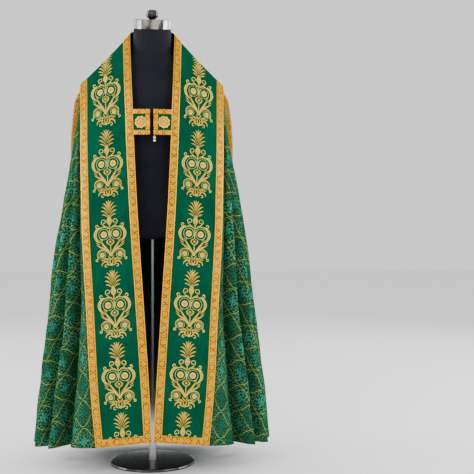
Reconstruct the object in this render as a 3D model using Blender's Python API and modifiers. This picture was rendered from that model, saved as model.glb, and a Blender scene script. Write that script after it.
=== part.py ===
"""A cope on a limbless dress form, in metres, +Z up. The front faces -Y and the origin is on the floor, under
the middle of the stand. Left and right are the wearer's, so the left side is at +X.

The cope is cut as half a disc. A straight band, the orphrey, runs along its diameter: up one front edge, over
the shoulder on a 45 degree fold, behind the neck and down the other front edge. The body hangs from the band's
outer edge in deep folds that fan out from the shoulder points."""

import bisect
import functools
import math

import bmesh
import bpy
import numpy as np
from mathutils import Vector

# Cloths and braids
BODY_CLOTH = 0.002
BAND_CLOTH = 0.0025
HOOD_CLOTH = 0.002
BRAID_THICK = 0.0012
SEAM = 0.0003
GALLOON_WIDE = 0.027
HEM_GALLOON_HIGH = 0.0255
BACK_GALLOON_WIDE = 0.0244

# The band: its edges where it hangs in front, read upwards
BAND_WIDE = 0.197
BAND_CROWN = 0.005
INNER_EDGE = (  # height, distance from the middle, depth
    (0.120, 0.0030, -0.215),
    (0.299, 0.0120, -0.201),
    (0.552, 0.0280, -0.184),
    (0.895, 0.0505, -0.162),
    (1.156, 0.0632, -0.145),
    (1.270, 0.0670, -0.131),
    (1.360, 0.0710, -0.102),
    (1.450, 0.0745, -0.052),
    (1.520, 0.0770, 0.000),
)
OUTER_EDGE = (  # height, distance from the middle, depth
    (0.101, 0.190, -0.200),
    (0.294, 0.209, -0.180),
    (0.548, 0.223, -0.158),
    (0.808, 0.238, -0.134),
    (0.937, 0.2415, -0.121),
    (1.110, 0.2455, -0.101),
    (1.220, 0.2465, -0.074),
    (1.290, 0.2490, -0.038),
    (1.346, 0.2530, 0.000),
)
NECK_SIDE_HEIGHT, NECK_BACK_HEIGHT, NECK_BACK_DEPTH = 1.520, 1.556, 0.070
SHOULDER_HEIGHT, BAND_BACK_HEIGHT = 1.346, 1.376
BAND_BACK_ROWS = (0.03, 0.08, 0.15, 0.23, 0.32, 0.42, 0.53, 0.65, 0.80)
NECK_ARCH = 0.6

# The body: rings round the wearer, from the band's outer edge down to the hem
RINGS = (  # share of the fall, half width, depth of the widest point, depth of the middle of the back
    (0.00, 0.253, 0.000, 0.140),
    (0.07, 0.257, 0.014, 0.152),
    (0.18, 0.278, 0.026, 0.170),
    (0.43, 0.337, 0.034, 0.207),
    (0.70, 0.382, 0.038, 0.247),
    (1.00, 0.428, 0.040, 0.295),
)
BACK_SQUARENESS = 3.0
CROWN_TURN = math.radians(5)
FRONT_FULLNESS = 0.60
HEM_FRONT, HEM_SIDE, HEM_BACK = 0.101, 0.069, 0.052
FOLD_STEEPNESS = math.radians(84)
FOLD_GROWTH = 0.85
FOLD_SPREAD, FIRST_SPREAD = 1.1, 2.2
FOLDS = {  # where a fold starts, as shares of the fall and of the half ring; its place and depth at the hem
    "right": (
        (0.10, 0.016, 0.150, 0.084),
        (0.15, 0.045, 0.226, 0.088),
        (0.08, 0.150, 0.350, 0.125),
        (0.07, 0.290, 0.490, 0.135),
        (0.12, 0.520, 0.638, 0.122),
        (0.20, 0.730, 0.706, 0.112),
    ),
    "left": (
        (0.10, 0.016, 0.146, 0.080),
        (0.17, 0.050, 0.230, 0.092),
        (0.09, 0.155, 0.343, 0.120),
        (0.11, 0.280, 0.500, 0.130),
        (0.09, 0.530, 0.630, 0.128),
        (0.22, 0.724, 0.708, 0.106),
    ),
}
FOLD_AIM = (0.7, 0.3)
FIRST_LEAN = 0.45
BACK_PANEL = (0.752, 0.736)
ROWS_DOWN = (0.0, 0.02, 0.05, 0.09, 0.14, 0.20, 0.27, 0.35, 0.44, 0.53, 0.62, 0.71, 0.80, 0.89)
STEPS_PER_FOLD = 4
STEPS_BACK_PANEL = 4

# The hood: a shield, given by its half width at each height as seen from behind
HOOD_HALF_WIDE, HOOD_TOP_HALF_WIDE = 0.2715, 0.2455
HOOD_WIDEST, HOOD_FOOT, HOOD_CORNER = 1.100, 0.8955, 2.5
HOOD_LIFT = 0.0027
HOOD_SPREAD = (  # height, how much wider the stiff hood stands than the body under it
    (0.880, 0.010),
    (1.100, 0.018),
    (1.250, 0.028),
    (1.310, 0.016),
    (1.376, 0.004),
)
HOOD_BRAID_WIDE = 0.0045
FRINGE_STRIP, FRINGE_LONG, FRINGE_THICK = 0.005, 0.0215, 0.0022
FRINGE_STRANDS, FRINGE_DROOP, FRINGE_FLARE = 150, 0.30, 0.15
FRINGE_SHORTEST, FRINGE_GROWTH = 0.4, 0.060  # the strands next to the hood's upper corners are trimmed

# The morse: two tabs that meet on the chest
MORSE_FOOT, MORSE_TOP = 1.158, 1.247
MORSE_RISE = 0.011
MORSE_ENDS = {"right": -0.0076, "left": 0.0034}
MORSE_GALLOON_HIGH, MORSE_GALLOON_WIDE = 0.017, 0.015
ROSETTE_RADIUS, ROSETTE_THICK, ROSETTE_HEIGHT = 0.0215, 0.003, 1.2017
ROSETTE_PLACES = {"right": -0.0386, "left": 0.0388}
CLASP_BAR_WIDE, CLASP_BAR_THICK, CLASP_BAR_TOP = 0.004, 0.002, 1.186
CLASP_BALL_RADIUS, CLASP_PLACE = 0.0058, 0.0070
CLASP_BALL_HEIGHTS = (1.1500, 1.1395)

# The dress form and its stand
FORM_SECTIONS = (  # height, half width, depth of the front, depth of the back, place of the middle
    (0.800, 0.118, -0.082, 0.092, 0.004),
    (0.812, 0.150, -0.100, 0.112, 0.004),
    (0.870, 0.168, -0.104, 0.116, 0.004),
    (0.960, 0.158, -0.100, 0.108, 0.002),
    (1.050, 0.136, -0.094, 0.090, 0.000),
    (1.140, 0.146, -0.104, 0.092, -0.002),
    (1.230, 0.166, -0.112, 0.102, -0.002),
    (1.309, 0.1835, -0.1035, 0.106, 0.002),
    (1.3543, 0.1944, -0.0866, 0.100, 0.007),
    (1.3835, 0.1914, -0.0676, 0.090, 0.009),
    (1.4048, 0.1752, -0.0565, 0.080, 0.0105),
    (1.4230, 0.1440, -0.0536, 0.074, 0.0105),
    (1.4388, 0.1075, -0.0530, 0.070, 0.008),
    (1.4545, 0.0818, -0.0545, 0.067, 0.006),
    (1.475, 0.0715, -0.059, 0.064, 0.002),
    (1.500, 0.0690, -0.064, 0.061, -0.002),
    (1.548, 0.0660, -0.073, 0.051, -0.011),
)
FORM_SQUARENESS = 2.3
FORM_SIDES = 28
NECK_TILT = math.radians(13)
NECK_TOP, NECK_TOP_DEPTH = 1.548, -0.011
CAP_RADIUS, CAP_HIGH = 0.0652, 0.032
KNOB_RADIUS, KNOB_HIGH, KNOB_LOBES = 0.0215, 0.036, 8
POLE_RADIUS = 0.014
BASE_RADIUS, BASE_HIGH, BASE_EDGE = 0.15, 0.010, 0.003

SIDES = {"right": -1, "left": 1}


# ---------------------------------------------------------------- tables, lines and grids


def read(rows, key):
    """The values of a table at this key, on a smooth curve through its rows."""
    keys = [row[0] for row in rows]
    values = np.array([row[1:] for row in rows], float)
    key = min(max(key, keys[0]), keys[-1])
    i = min(max(bisect.bisect_right(keys, key) - 1, 0), len(keys) - 2)

    def slope(j):
        before, after = max(j - 1, 0), min(j + 1, len(keys) - 1)
        return (values[after] - values[before]) / (keys[after] - keys[before])

    span = keys[i + 1] - keys[i]
    f = (key - keys[i]) / span
    return (
        (2 * f**3 - 3 * f**2 + 1) * values[i]
        + (f**3 - 2 * f**2 + f) * span * slope(i)
        + (3 * f**2 - 2 * f**3) * values[i + 1]
        + (f**3 - f**2) * span * slope(i + 1)
    )


def measured(points):
    """A line with the length up to each of its points."""
    points = np.array(points, float)
    steps = np.linalg.norm(np.diff(points, axis=0), axis=1)
    return np.concatenate([[0.0], np.cumsum(steps)]), points


def along(line, share):
    """The point at this share of a measured line's length."""
    lengths, points = line
    return np.array([np.interp(share * lengths[-1], lengths, axis) for axis in points.T])


def drawn_in(grid, row=None, column=None, by=SEAM / 2):
    """Pulls one border row or column of a grid towards its neighbour, which leaves the gap of a seam."""
    grid = np.swapaxes(grid, 0, 1) if row is None else grid
    edge = column if row is None else row
    next_one = 1 if edge == 0 else -2
    away = grid[next_one] - grid[edge]
    grid[edge] += by * away / np.linalg.norm(away, axis=1, keepdims=True)
    return np.swapaxes(grid, 0, 1) if row is None else grid


def mesh_of_grid(name, grid, skipped=()):
    """An open surface through a grid of points, without the cells that are skipped."""
    rows, columns = grid.shape[:2]
    faces = [
        (r * columns + c, r * columns + c + 1, (r + 1) * columns + c + 1, (r + 1) * columns + c)
        for r in range(rows - 1)
        for c in range(columns - 1)
        if (r, c) not in skipped
    ]
    mesh = bpy.data.meshes.new(name)
    mesh.from_pydata([tuple(point) for point in grid.reshape(-1, 3)], [], faces)
    mesh.update()
    return mesh


def facing_out(grid, outward):
    """The grid, with its columns turned round if its faces would look inwards."""
    across = grid[1:, :-1] - grid[:-1, :-1]
    down = grid[:-1, 1:] - grid[:-1, :-1]
    normals = np.cross(down, across)
    return grid if (normals * outward(grid[:-1, :-1])).sum() > 0 else grid[:, ::-1]


def from_axis(points):
    """Directions away from the upright line through the wearer."""
    return points * (1, 1, 0) - (0, 0.03, 0)


def lifted(grid, by):
    """The grid's points moved out from its surface."""
    mesh = mesh_of_grid("measure", grid)
    normals = np.array([vertex.normal for vertex in mesh.vertices]).reshape(grid.shape)
    bpy.data.meshes.remove(mesh)
    return grid + by * normals


# ---------------------------------------------------------------- materials and objects


def material(name, colour, roughness, metallic=0.0):
    made = bpy.data.materials.new(name)
    made.use_nodes = True
    shader = made.node_tree.nodes["Principled BSDF"]
    shader.inputs["Base Color"].default_value = (*colour, 1)
    shader.inputs["Roughness"].default_value = roughness
    shader.inputs["Metallic"].default_value = metallic
    return made


def placed(name, mesh, finish, collection):
    made = bpy.data.objects.new(name, mesh)
    collection.objects.link(made)
    mesh.materials.append(finish)
    return made


def cloth(name, grid, thick, finish, collection, skipped=()):
    """A piece of cloth or braid: the grid is its inner face, and its wall is added outwards."""
    made = placed(name, mesh_of_grid(name, grid, skipped), finish, collection)
    wall = made.modifiers.new("wall", "SOLIDIFY")
    wall.thickness, wall.offset = thick, 1
    wall.use_quality_normals = False
    return made


def turned(name, profile, finish, collection, sides=32):
    """A turned piece: its profile (radius, height) runs down the outer side, closed on the axis."""
    mesh = bpy.data.meshes.new(name)
    points = [(radius, 0, height) for radius, height in profile]
    mesh.from_pydata(points, [(i, i + 1) for i in range(len(points) - 1)], [])
    made = placed(name, mesh, finish, collection)
    spin = made.modifiers.new("turned", "SCREW")
    spin.steps = spin.render_steps = sides
    spin.use_merge_vertices, spin.merge_threshold = True, 0.00001
    spin.use_smooth_shade = True
    return made


# ---------------------------------------------------------------- the cope's surfaces


@functools.lru_cache(maxsize=None)
def edge_line(inner):
    """The inner or outer edge of the band in front, from the shoulder fold down to the hem."""
    rows = INNER_EDGE if inner else OUTER_EDGE
    heights = np.linspace(rows[-1][0], rows[0][0], 240)
    points = []
    for height in heights:
        x, y = read(rows, height)
        points.append((x, y, height))
    return measured(points)


def seam_height(share_of_width):
    """The height of the seam of band and body behind, by the share of the half width."""
    return BAND_BACK_HEIGHT - (BAND_BACK_HEIGHT - SHOULDER_HEIGHT) * abs(share_of_width) ** 2


@functools.lru_cache(maxsize=None)
def rows_down():
    """The rows of the band in front and of the body, which share them. The last but one is the hem braid's top."""
    return (*ROWS_DOWN, 1 - HEM_GALLOON_HIGH / edge_line(False)[0][-1], 1.0)


def fallen(fall):
    """How far down a ring at this share of the fall lies, as a share of the height."""
    start, end = OUTER_EDGE[-1][0], OUTER_EDGE[0][0]
    return (start - along(edge_line(False), fall)[2]) / (start - end)


def fall_at(down):
    """The share of the fall whose ring lies this far down."""
    lengths, points = edge_line(False)
    start, end = OUTER_EDGE[-1][0], OUTER_EDGE[0][0]
    return float(np.interp(down, (start - points[:, 2]) / (start - end), lengths / lengths[-1]))


def back_depth(x, half_width, side_depth, middle_depth):
    """The depth of a ring behind its widest points."""
    share = min(abs(x) / half_width, 1.0) ** BACK_SQUARENESS
    return side_depth + (middle_depth - side_depth) * (1 - share) ** (1 / BACK_SQUARENESS)


@functools.lru_cache(maxsize=None)
def half_ring(fall):
    """The left half of the smooth ring that the folds hang on: from the band, round the side, to the middle
    of the back. Its third value is the height."""
    half_width, side_depth, middle_depth = read(RINGS, fall)
    start = along(edge_line(False), fall)
    side = np.array([half_width, side_depth])
    reach = np.abs(side - start[:2])
    across = start[:2] - read(INNER_EDGE, start[2])
    turn = math.atan2(across[1], across[0]) + CROWN_TURN
    first = start[:2] + FRONT_FULLNESS * reach[0] * np.array([math.cos(turn), math.sin(turn)])
    second = side - np.array([0, FRONT_FULLNESS * reach[1]])
    down = fallen(fall)
    points = []
    for f in np.linspace(0, 1, 60):
        x, y = (
            (1 - f) ** 3 * start[:2] + 3 * (1 - f) ** 2 * f * first + 3 * (1 - f) * f**2 * second + f**3 * side
        )
        hem = HEM_SIDE + (HEM_FRONT - HEM_SIDE) * (1 - f)
        points.append((x, y, SHOULDER_HEIGHT + (hem - SHOULDER_HEIGHT) * down))
    for angle in np.linspace(0, math.pi / 2, 90)[1:]:
        share = math.cos(angle) ** (2 / BACK_SQUARENESS)
        x = half_width * share
        hem = HEM_BACK + (HEM_SIDE - HEM_BACK) * share**2
        top = seam_height(share)
        points.append((x, back_depth(x, half_width, side_depth, middle_depth), top + (hem - top) * down))
    return measured(points)


@functools.lru_cache(maxsize=None)
def fold_curve(steepness, lean, steps=48):
    """From the floor of a fold up to its ridge: shares of the way across and of the way out. A lean under 1
    brings the steep part close to the floor."""
    angles = steepness * np.sin(math.pi * ((np.arange(steps) + 0.5) / steps) ** lean)
    across = np.concatenate([[0.0], np.cumsum(np.cos(angles))])
    out = np.concatenate([[0.0], np.cumsum(np.sin(angles))])
    return across / across[-1], out / out[-1]


def fold_at(folds, place, fall):
    """The share of the half ring and the depth of a fold. Place counts half folds from the band: a fold's floor
    lies at each odd number, a ridge at each even one, and the last stretch is the flat panel behind."""
    down = [max((fall - start) / (1 - start), 0.0) for start, _, _, _ in folds]
    spreads = [FIRST_SPREAD] + [FOLD_SPREAD] * (len(folds) - 1)
    floors = [top + (hem - top) * f**spread for f, spread, (_, top, hem, _) in zip(down, spreads, folds)]
    panel = BACK_PANEL[0] + (BACK_PANEL[1] - BACK_PANEL[0]) * fall
    stretch = min(int(place), 2 * len(folds))
    f = place - stretch
    if stretch == 2 * len(folds):
        return panel + (1 - panel) * f, 0.0
    at = stretch // 2
    up = 1 - f if stretch % 2 == 0 else f
    neighbours = [0.0] + [(a + b) / 2 for a, b in zip(floors, floors[1:])] + [panel]
    ridge = neighbours[at if stretch % 2 == 0 else at + 1]
    depth = folds[at][-1]
    grown = down[at] ** FOLD_GROWTH
    lean = FIRST_LEAN if stretch == 0 else 1.0
    across, out = fold_curve(round(FOLD_STEEPNESS * max(grown, 0.04) ** 0.5, 4), lean)
    steps = np.linspace(0, 1, len(across))
    share = floors[at] + (ridge - floors[at]) * np.interp(up, steps, across)
    return share, depth * grown * (1 - np.interp(up, steps, out))


def body_point(side, place, fall):
    """A point of the body's inner face."""
    share, depth = fold_at(FOLDS[side], place, fall)
    x, y, z = along(half_ring(fall), share)
    _, side_depth, _ = read(RINGS, fall)
    inward = np.array([FOLD_AIM[0] * x, side_depth + FOLD_AIM[1] * (y - side_depth)]) - (x, y)
    inward /= max(np.linalg.norm(inward), 1e-9)
    return np.array([SIDES[side] * (x + depth * inward[0]), y + depth * inward[1], z])


@functools.lru_cache(maxsize=None)
def neck_line():
    """The band's edge behind the neck, from its side to the middle. It is a flat arch seen from behind."""
    points = []
    for angle in np.linspace(0, math.pi / 2, 80):
        rise = (NECK_BACK_HEIGHT - NECK_SIDE_HEIGHT) * math.sin(angle) ** NECK_ARCH
        x, y = INNER_EDGE[-1][1] * math.cos(angle), NECK_BACK_DEPTH * math.sin(angle)
        points.append((x, y, NECK_SIDE_HEIGHT + rise))
    return measured(points)


def band_point(side, down_front, behind, across):
    """A point of the band's inner face. One of the first two shares is 0: from the shoulder fold down the front,
    or from the fold round to the middle of the back. Across goes from the neck edge to the outer edge."""
    if behind == 0:
        inner, outer = along(edge_line(True), down_front), along(edge_line(False), down_front)
        crown = (0.25, -0.97, 0.0)
        fade = min(down_front / 0.1, 1.0)
    else:
        neck, seam = neck_line(), half_ring(0.0)
        braid = BACK_GALLOON_WIDE / 2
        from_middle = (1 - behind) * seam[0][-1]
        beyond = max(from_middle - braid, 0) * (neck[0][-1] - braid) / (seam[0][-1] - braid)
        inner = along(neck, 1 - (min(from_middle, braid) + beyond) / neck[0][-1])
        outer = along(seam, behind)
        crown = (0.3 * (1 - behind), 0.9, 0.3)
        fade = min(behind / 0.3, 1.0)
    point = inner + (outer - inner) * across
    point = point + BAND_CROWN * fade * 4 * across * (1 - across) * np.array(crown)
    return point * (SIDES[side], 1, 1)


def band_grid(side, columns):
    """The band's inner face from the hem up over the shoulder to the middle of the back. Its second row lies at
    the top of the hem braid, and the one before the last at the edge of the centre braid."""
    centre_braid = 1 - BACK_GALLOON_WIDE / 2 / half_ring(0.0)[0][-1]
    front = [(share, 0.0) for share in reversed(rows_down())]
    back = [(0.0, share) for share in (*BAND_BACK_ROWS, centre_braid, 1.0)]
    return np.array([[band_point(side, *row, across) for across in columns] for row in front + back])


def hood_half_wide(height):
    if height > HOOD_WIDEST:
        up = (height - HOOD_WIDEST) / (SHOULDER_HEIGHT - HOOD_WIDEST)
        return HOOD_HALF_WIDE - (HOOD_HALF_WIDE - HOOD_TOP_HALF_WIDE) * up**2
    down = (HOOD_WIDEST - height) / (HOOD_WIDEST - HOOD_FOOT)
    return HOOD_HALF_WIDE * max(1 - down**HOOD_CORNER, 0.0) ** (1 / HOOD_CORNER)


def back_surface(x, height, wider=0.0):
    """The point of the smooth back at this distance from the middle and this height."""
    fall = 0.5
    for _ in range(12):
        half_width, side_depth, middle_depth = read(RINGS, fall)
        share = min(abs(x) / half_width, 1.0)
        top, hem = seam_height(share), HEM_BACK + (HEM_SIDE - HEM_BACK) * share**2
        fall = fall_at((top - height) / (top - hem))
    return np.array([x, back_depth(x, half_width + wider, side_depth, middle_depth), height])


def hood_slopes(x, height):
    """A point of the smooth back as the hood lies on it, and how its depth changes sideways and upwards."""
    step = 0.004
    wider = read(HOOD_SPREAD, height)[0]
    here = back_surface(x, height, wider)
    sideways = back_surface(x + step, height, wider) - back_surface(x - step, height, wider)
    above, below = (read(HOOD_SPREAD, height + up)[0] for up in (step, -step))
    upwards = back_surface(x, height + step, above) - back_surface(x, height - step, below)
    return here, sideways[1] / (2 * step), upwards[1] / (2 * step)


def hood_point(x, height, lift=0.0):
    """A point of the hood's inner face. The hood is stiff and stands off more towards its sides."""
    here, sideways, upwards = hood_slopes(x, height)
    out = np.array([-sideways, 1.0, -upwards])
    return here + (HOOD_LIFT + lift) * out / np.linalg.norm(out)


def hood_outline(steps=720):
    """The hood's outline as seen from behind, (x, height), from its right upper corner round to the left one."""
    corner_height = seam_height(HOOD_TOP_HALF_WIDE / RINGS[0][1]) - 2 * SEAM
    half = [(hood_half_wide(height), height) for height in np.linspace(corner_height, HOOD_WIDEST, steps // 4)]
    for angle in np.linspace(0, math.pi / 2, steps // 4)[1:]:
        x = HOOD_HALF_WIDE * math.cos(angle) ** (2 / HOOD_CORNER)
        down = math.sin(angle) ** (2 / HOOD_CORNER)
        half.append((x, HOOD_WIDEST - (HOOD_WIDEST - HOOD_FOOT) * down))
    return measured([(-x, z) for x, z in half] + [(x, z) for x, z in reversed(half[:-1])])


# ---------------------------------------------------------------- the cloth pieces


def add_body(finish, collection):
    """Two side lengths with all the folds, and the flat back length between them. The seams run down the ridges
    at the edges of the back panel."""
    panel_edge = 2 * len(FOLDS["left"])
    steps = [i / STEPS_PER_FOLD for i in range(panel_edge * STEPS_PER_FOLD + 1)]
    for side in SIDES:
        grid = np.array([[body_point(side, place, fall) for place in steps] for fall in rows_down()])
        grid = drawn_in(grid, row=0, by=2 * SEAM)
        grid = drawn_in(grid, column=0, by=2 * SEAM)
        grid = drawn_in(grid, column=-1)
        cloth(f"body_{side}", facing_out(grid, from_axis), BODY_CLOTH, finish, collection)
    half = [panel_edge + i / STEPS_BACK_PANEL for i in range(STEPS_BACK_PANEL)]
    rows = []
    for fall in rows_down():
        right = [body_point("right", place, fall) for place in half]
        middle = [body_point("right", panel_edge + 1, fall) * (0, 1, 1)]
        left = [body_point("left", place, fall) for place in reversed(half)]
        rows.append(right + middle + left)
    grid = drawn_in(np.array(rows), row=0, by=2 * SEAM)
    grid = drawn_in(drawn_in(grid, column=0), column=-1)
    cloth("body_back", facing_out(grid, from_axis), BODY_CLOTH, finish, collection)


def add_band(green, gold, collection):
    """The band with the braids that are stitched on it. They share its rows and columns, so they lie flat."""
    edge = GALLOON_WIDE / BAND_WIDE
    columns = (0.0, edge, 0.5, 1 - edge, 1.0)
    gap = SEAM / BAND_WIDE
    over_band = BAND_CLOTH + SEAM
    for side in SIDES:
        grid = drawn_in(band_grid(side, columns), row=-1)
        faced = facing_out(grid, from_axis)
        turned_round = faced is not grid
        cloth(f"orphrey_{side}", faced, BAND_CLOTH, green, collection)
        top = lifted(faced, over_band)
        top = top[:, ::-1] if turned_round else top
        hem = top[:2, 1:4].copy()
        hem[:, 0] += (hem[:, 1] - hem[:, 0]) * 2 * gap
        hem[:, 2] += (hem[:, 1] - hem[:, 2]) * 2 * gap
        pieces = {"inner": top[:, :2].copy(), "outer": top[:, 3:].copy(), "hem": hem}
        for place, strip in pieces.items():
            if turned_round:
                strip = strip[:, ::-1]
            cloth(f"galloon_{place}_{side}", strip, BRAID_THICK, gold, collection)
    across = (edge + 2 * gap, 0.5, 1 - edge - 2 * gap)
    rows = []
    for share in across:
        row = []
        for side in SIDES:
            half_wide = 1 - BACK_GALLOON_WIDE / 2 / half_ring(0.0)[0][-1]
            row.append(band_point(side, 0.0, half_wide, share))
        row.insert(1, band_point("left", 0.0, 1.0, share) * (0, 1, 1))
        rows.append(row)
    strip = facing_out(np.array(rows), from_axis)
    cloth("galloon_center_back", lifted(strip, over_band), BRAID_THICK, gold, collection)


def coons(top, bottom, left, right):
    """A grid inside four border lines of points that meet at the corners."""
    rows, columns = len(left), len(top)
    grid = np.zeros((rows, columns, 2))
    for r in range(rows):
        for c in range(columns):
            down, over = r / (rows - 1), c / (columns - 1)
            grid[r, c] = (1 - down) * top[c] + down * bottom[c] + (1 - over) * left[r] + over * right[r]
            grid[r, c] -= (1 - down) * ((1 - over) * top[0] + over * top[-1])
            grid[r, c] -= down * ((1 - over) * bottom[0] + over * bottom[-1])
    return grid


def add_hood(green, gold, pale_gold, collection):
    rows, columns = 12, 16
    outline = hood_outline()
    foot_corner = 0.335
    right = [along(outline, foot_corner * r / rows) for r in range(rows + 1)]
    foot = [along(outline, foot_corner + (1 - 2 * foot_corner) * c / columns) for c in range(columns + 1)]
    left = [point * (-1, 1) for point in right]
    top = []
    for c in range(columns + 1):
        x = HOOD_TOP_HALF_WIDE * (2 * c / columns - 1)
        top.append(np.array([x, seam_height(x / RINGS[0][1]) - 2 * SEAM]))
    top[0], top[-1] = right[0], left[0]
    flat = coons(top, foot, right, left)
    grid = np.array([[hood_point(*spot) for spot in row] for row in flat])
    cloth("hood", facing_out(grid, lambda p: p * 0 + (0, 1, 0)), HOOD_CLOTH, green, collection)

    border = right + foot[1:-1] + left[::-1]
    inner, outer = [], []
    for i, spot in enumerate(border):
        before, after = border[max(i - 1, 0)], border[min(i + 1, len(border) - 1)]
        way = (after - before) / np.linalg.norm(after - before)
        inwards = np.array([-way[1], way[0]])
        inner.append(hood_point(*(spot + HOOD_BRAID_WIDE * inwards), lift=HOOD_CLOTH + 2 * SEAM))
        outer.append(hood_point(*(spot + SEAM * inwards), lift=HOOD_CLOTH + 2 * SEAM))
    braid = facing_out(np.array([inner, outer]), lambda p: p * 0 + (0, 1, 0))
    cloth("hood_braid", braid, BRAID_THICK, pale_gold, collection)
    add_fringe(outline, gold, collection)


def add_fringe(outline, gold, collection):
    """The fringe: a strip just outside the hood's edge, and strands that hang from it, all one comb. Between two
    strands the strip shows a gap of half the pitch."""
    mesh = bpy.data.meshes.new("hood_fringe")
    comb = bmesh.new()
    count = 2 * FRINGE_STRANDS
    roots, ends, tips = [], [], []
    for i in range(count + 1):
        share = i / count
        before, after = along(outline, max(share - 0.002, 0)), along(outline, min(share + 0.002, 1))
        way = (after - before) / np.linalg.norm(after - before)
        outwards = np.array([way[1], -way[0]])
        spot = along(outline, share)
        _, sideways, upwards = hood_slopes(*spot)
        edge_way = np.array([outwards[0], sideways * outwards[0] + upwards * outwards[1], outwards[1]])
        edge_way /= np.linalg.norm(edge_way)
        hanging = outwards - (0, FRINGE_DROOP)
        falls = np.array([hanging[0], FRINGE_FLARE * sideways * hanging[0] + upwards * hanging[1], hanging[1]])
        falls /= np.linalg.norm(falls)
        root = hood_point(*spot) + 2.8 * SEAM * edge_way
        end = root + FRINGE_STRIP * edge_way
        roots.append(comb.verts.new(root))
        ends.append(comb.verts.new(end))
        from_corner = min(share, 1 - share) * outline[0][-1]
        grown = max(math.sin(math.pi / 2 * min(from_corner / FRINGE_GROWTH, 1.0)), FRINGE_SHORTEST)
        tips.append(end + FRINGE_LONG * grown * falls)
    for i in range(count):
        comb.faces.new((roots[i], roots[i + 1], ends[i + 1], ends[i]))
        if i % 2 == 0:
            middle = (tips[i] + tips[i + 1]) / 2
            foot = [comb.verts.new(middle + 0.9 * (tips[j] - middle)) for j in (i, i + 1)]
            comb.faces.new((ends[i], ends[i + 1], foot[1], foot[0]))
    comb.normal_update()
    if sum(face.normal.y * face.calc_area() for face in comb.faces) < 0:
        bmesh.ops.reverse_faces(comb, faces=comb.faces)
    comb.to_mesh(mesh)
    comb.free()
    made = placed("hood_fringe", mesh, gold, collection)
    wall = made.modifiers.new("strands", "SOLIDIFY")
    wall.thickness, wall.offset = FRINGE_THICK, 1
    wall.use_quality_normals = False


def tab_point(side, height, share):
    """A point of a tab's inner face, from the band's inner edge to the tab's end at the middle of the chest."""
    x, y = read(INNER_EDGE, height)
    start = np.array([x - SEAM, y - SEAM, height])
    end = np.array([MORSE_ENDS[side] * SIDES[side], y - MORSE_RISE, height])
    return (start + (end - start) * share) * (SIDES[side], 1, 1)


def add_morse(green, gold, metal, collection):
    """Each tab is stitched to the inner edge of its band and ends near the middle of the chest. Its braid frames
    three sides of a plain field, and a round ornament sits on the frame."""
    field_foot, field_top = MORSE_FOOT + MORSE_GALLOON_HIGH, MORSE_TOP - MORSE_GALLOON_HIGH
    rows_at = (MORSE_FOOT, field_foot, ROSETTE_HEIGHT, field_top, MORSE_TOP)
    for side in SIDES:
        wide = np.linalg.norm(tab_point(side, ROSETTE_HEIGHT, 1) - tab_point(side, ROSETTE_HEIGHT, 0))
        shares = (0.0, 1 - MORSE_GALLOON_WIDE / wide, 1.0)
        grid = np.array([[tab_point(side, height, share) for share in shares] for height in rows_at])
        ahead = facing_out(grid, lambda points: points * 0 + (0, -1, 0))
        cloth(f"morse_{side}", ahead, BAND_CLOTH, green, collection)
        across = 0 if ahead is grid else 1
        field = ((1, across), (2, across))
        frame = lifted(ahead, BAND_CLOTH + SEAM)
        cloth(f"morse_galloon_{side}", frame, BRAID_THICK, gold, collection, skipped=field)
        add_rosette(side, gold, collection)
    add_clasp(metal, collection)


def add_rosette(side, gold, collection):
    """A low dome with a rim, turned about an axis that leaves the tab squarely."""
    rim = 0.35 * ROSETTE_THICK
    profile = (
        (0.0, ROSETTE_THICK),
        (0.45 * ROSETTE_RADIUS, 0.9 * ROSETTE_THICK),
        (0.8 * ROSETTE_RADIUS, 0.65 * ROSETTE_THICK),
        (ROSETTE_RADIUS, rim),
        (ROSETTE_RADIUS, 0.0),
        (0.0, 0.0),
    )
    start, end = tab_point(side, ROSETTE_HEIGHT, 0), tab_point(side, ROSETTE_HEIGHT, 1)
    middle = start + (end - start) * (ROSETTE_PLACES[side] - start[0]) / (end[0] - start[0])
    up = tab_point(side, MORSE_TOP, 0.5) - tab_point(side, MORSE_FOOT, 0.5)
    out = Vector(np.cross(end - start, up)).normalized()
    out = -out if out.y > 0 else out
    made = turned(f"morse_rosette_{side}", profile, gold, collection, sides=20)
    made.rotation_euler = out.to_track_quat("Z", "Y").to_euler()
    made.location = Vector(middle) + out * (BAND_CLOTH + BRAID_THICK + 2 * SEAM)


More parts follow.
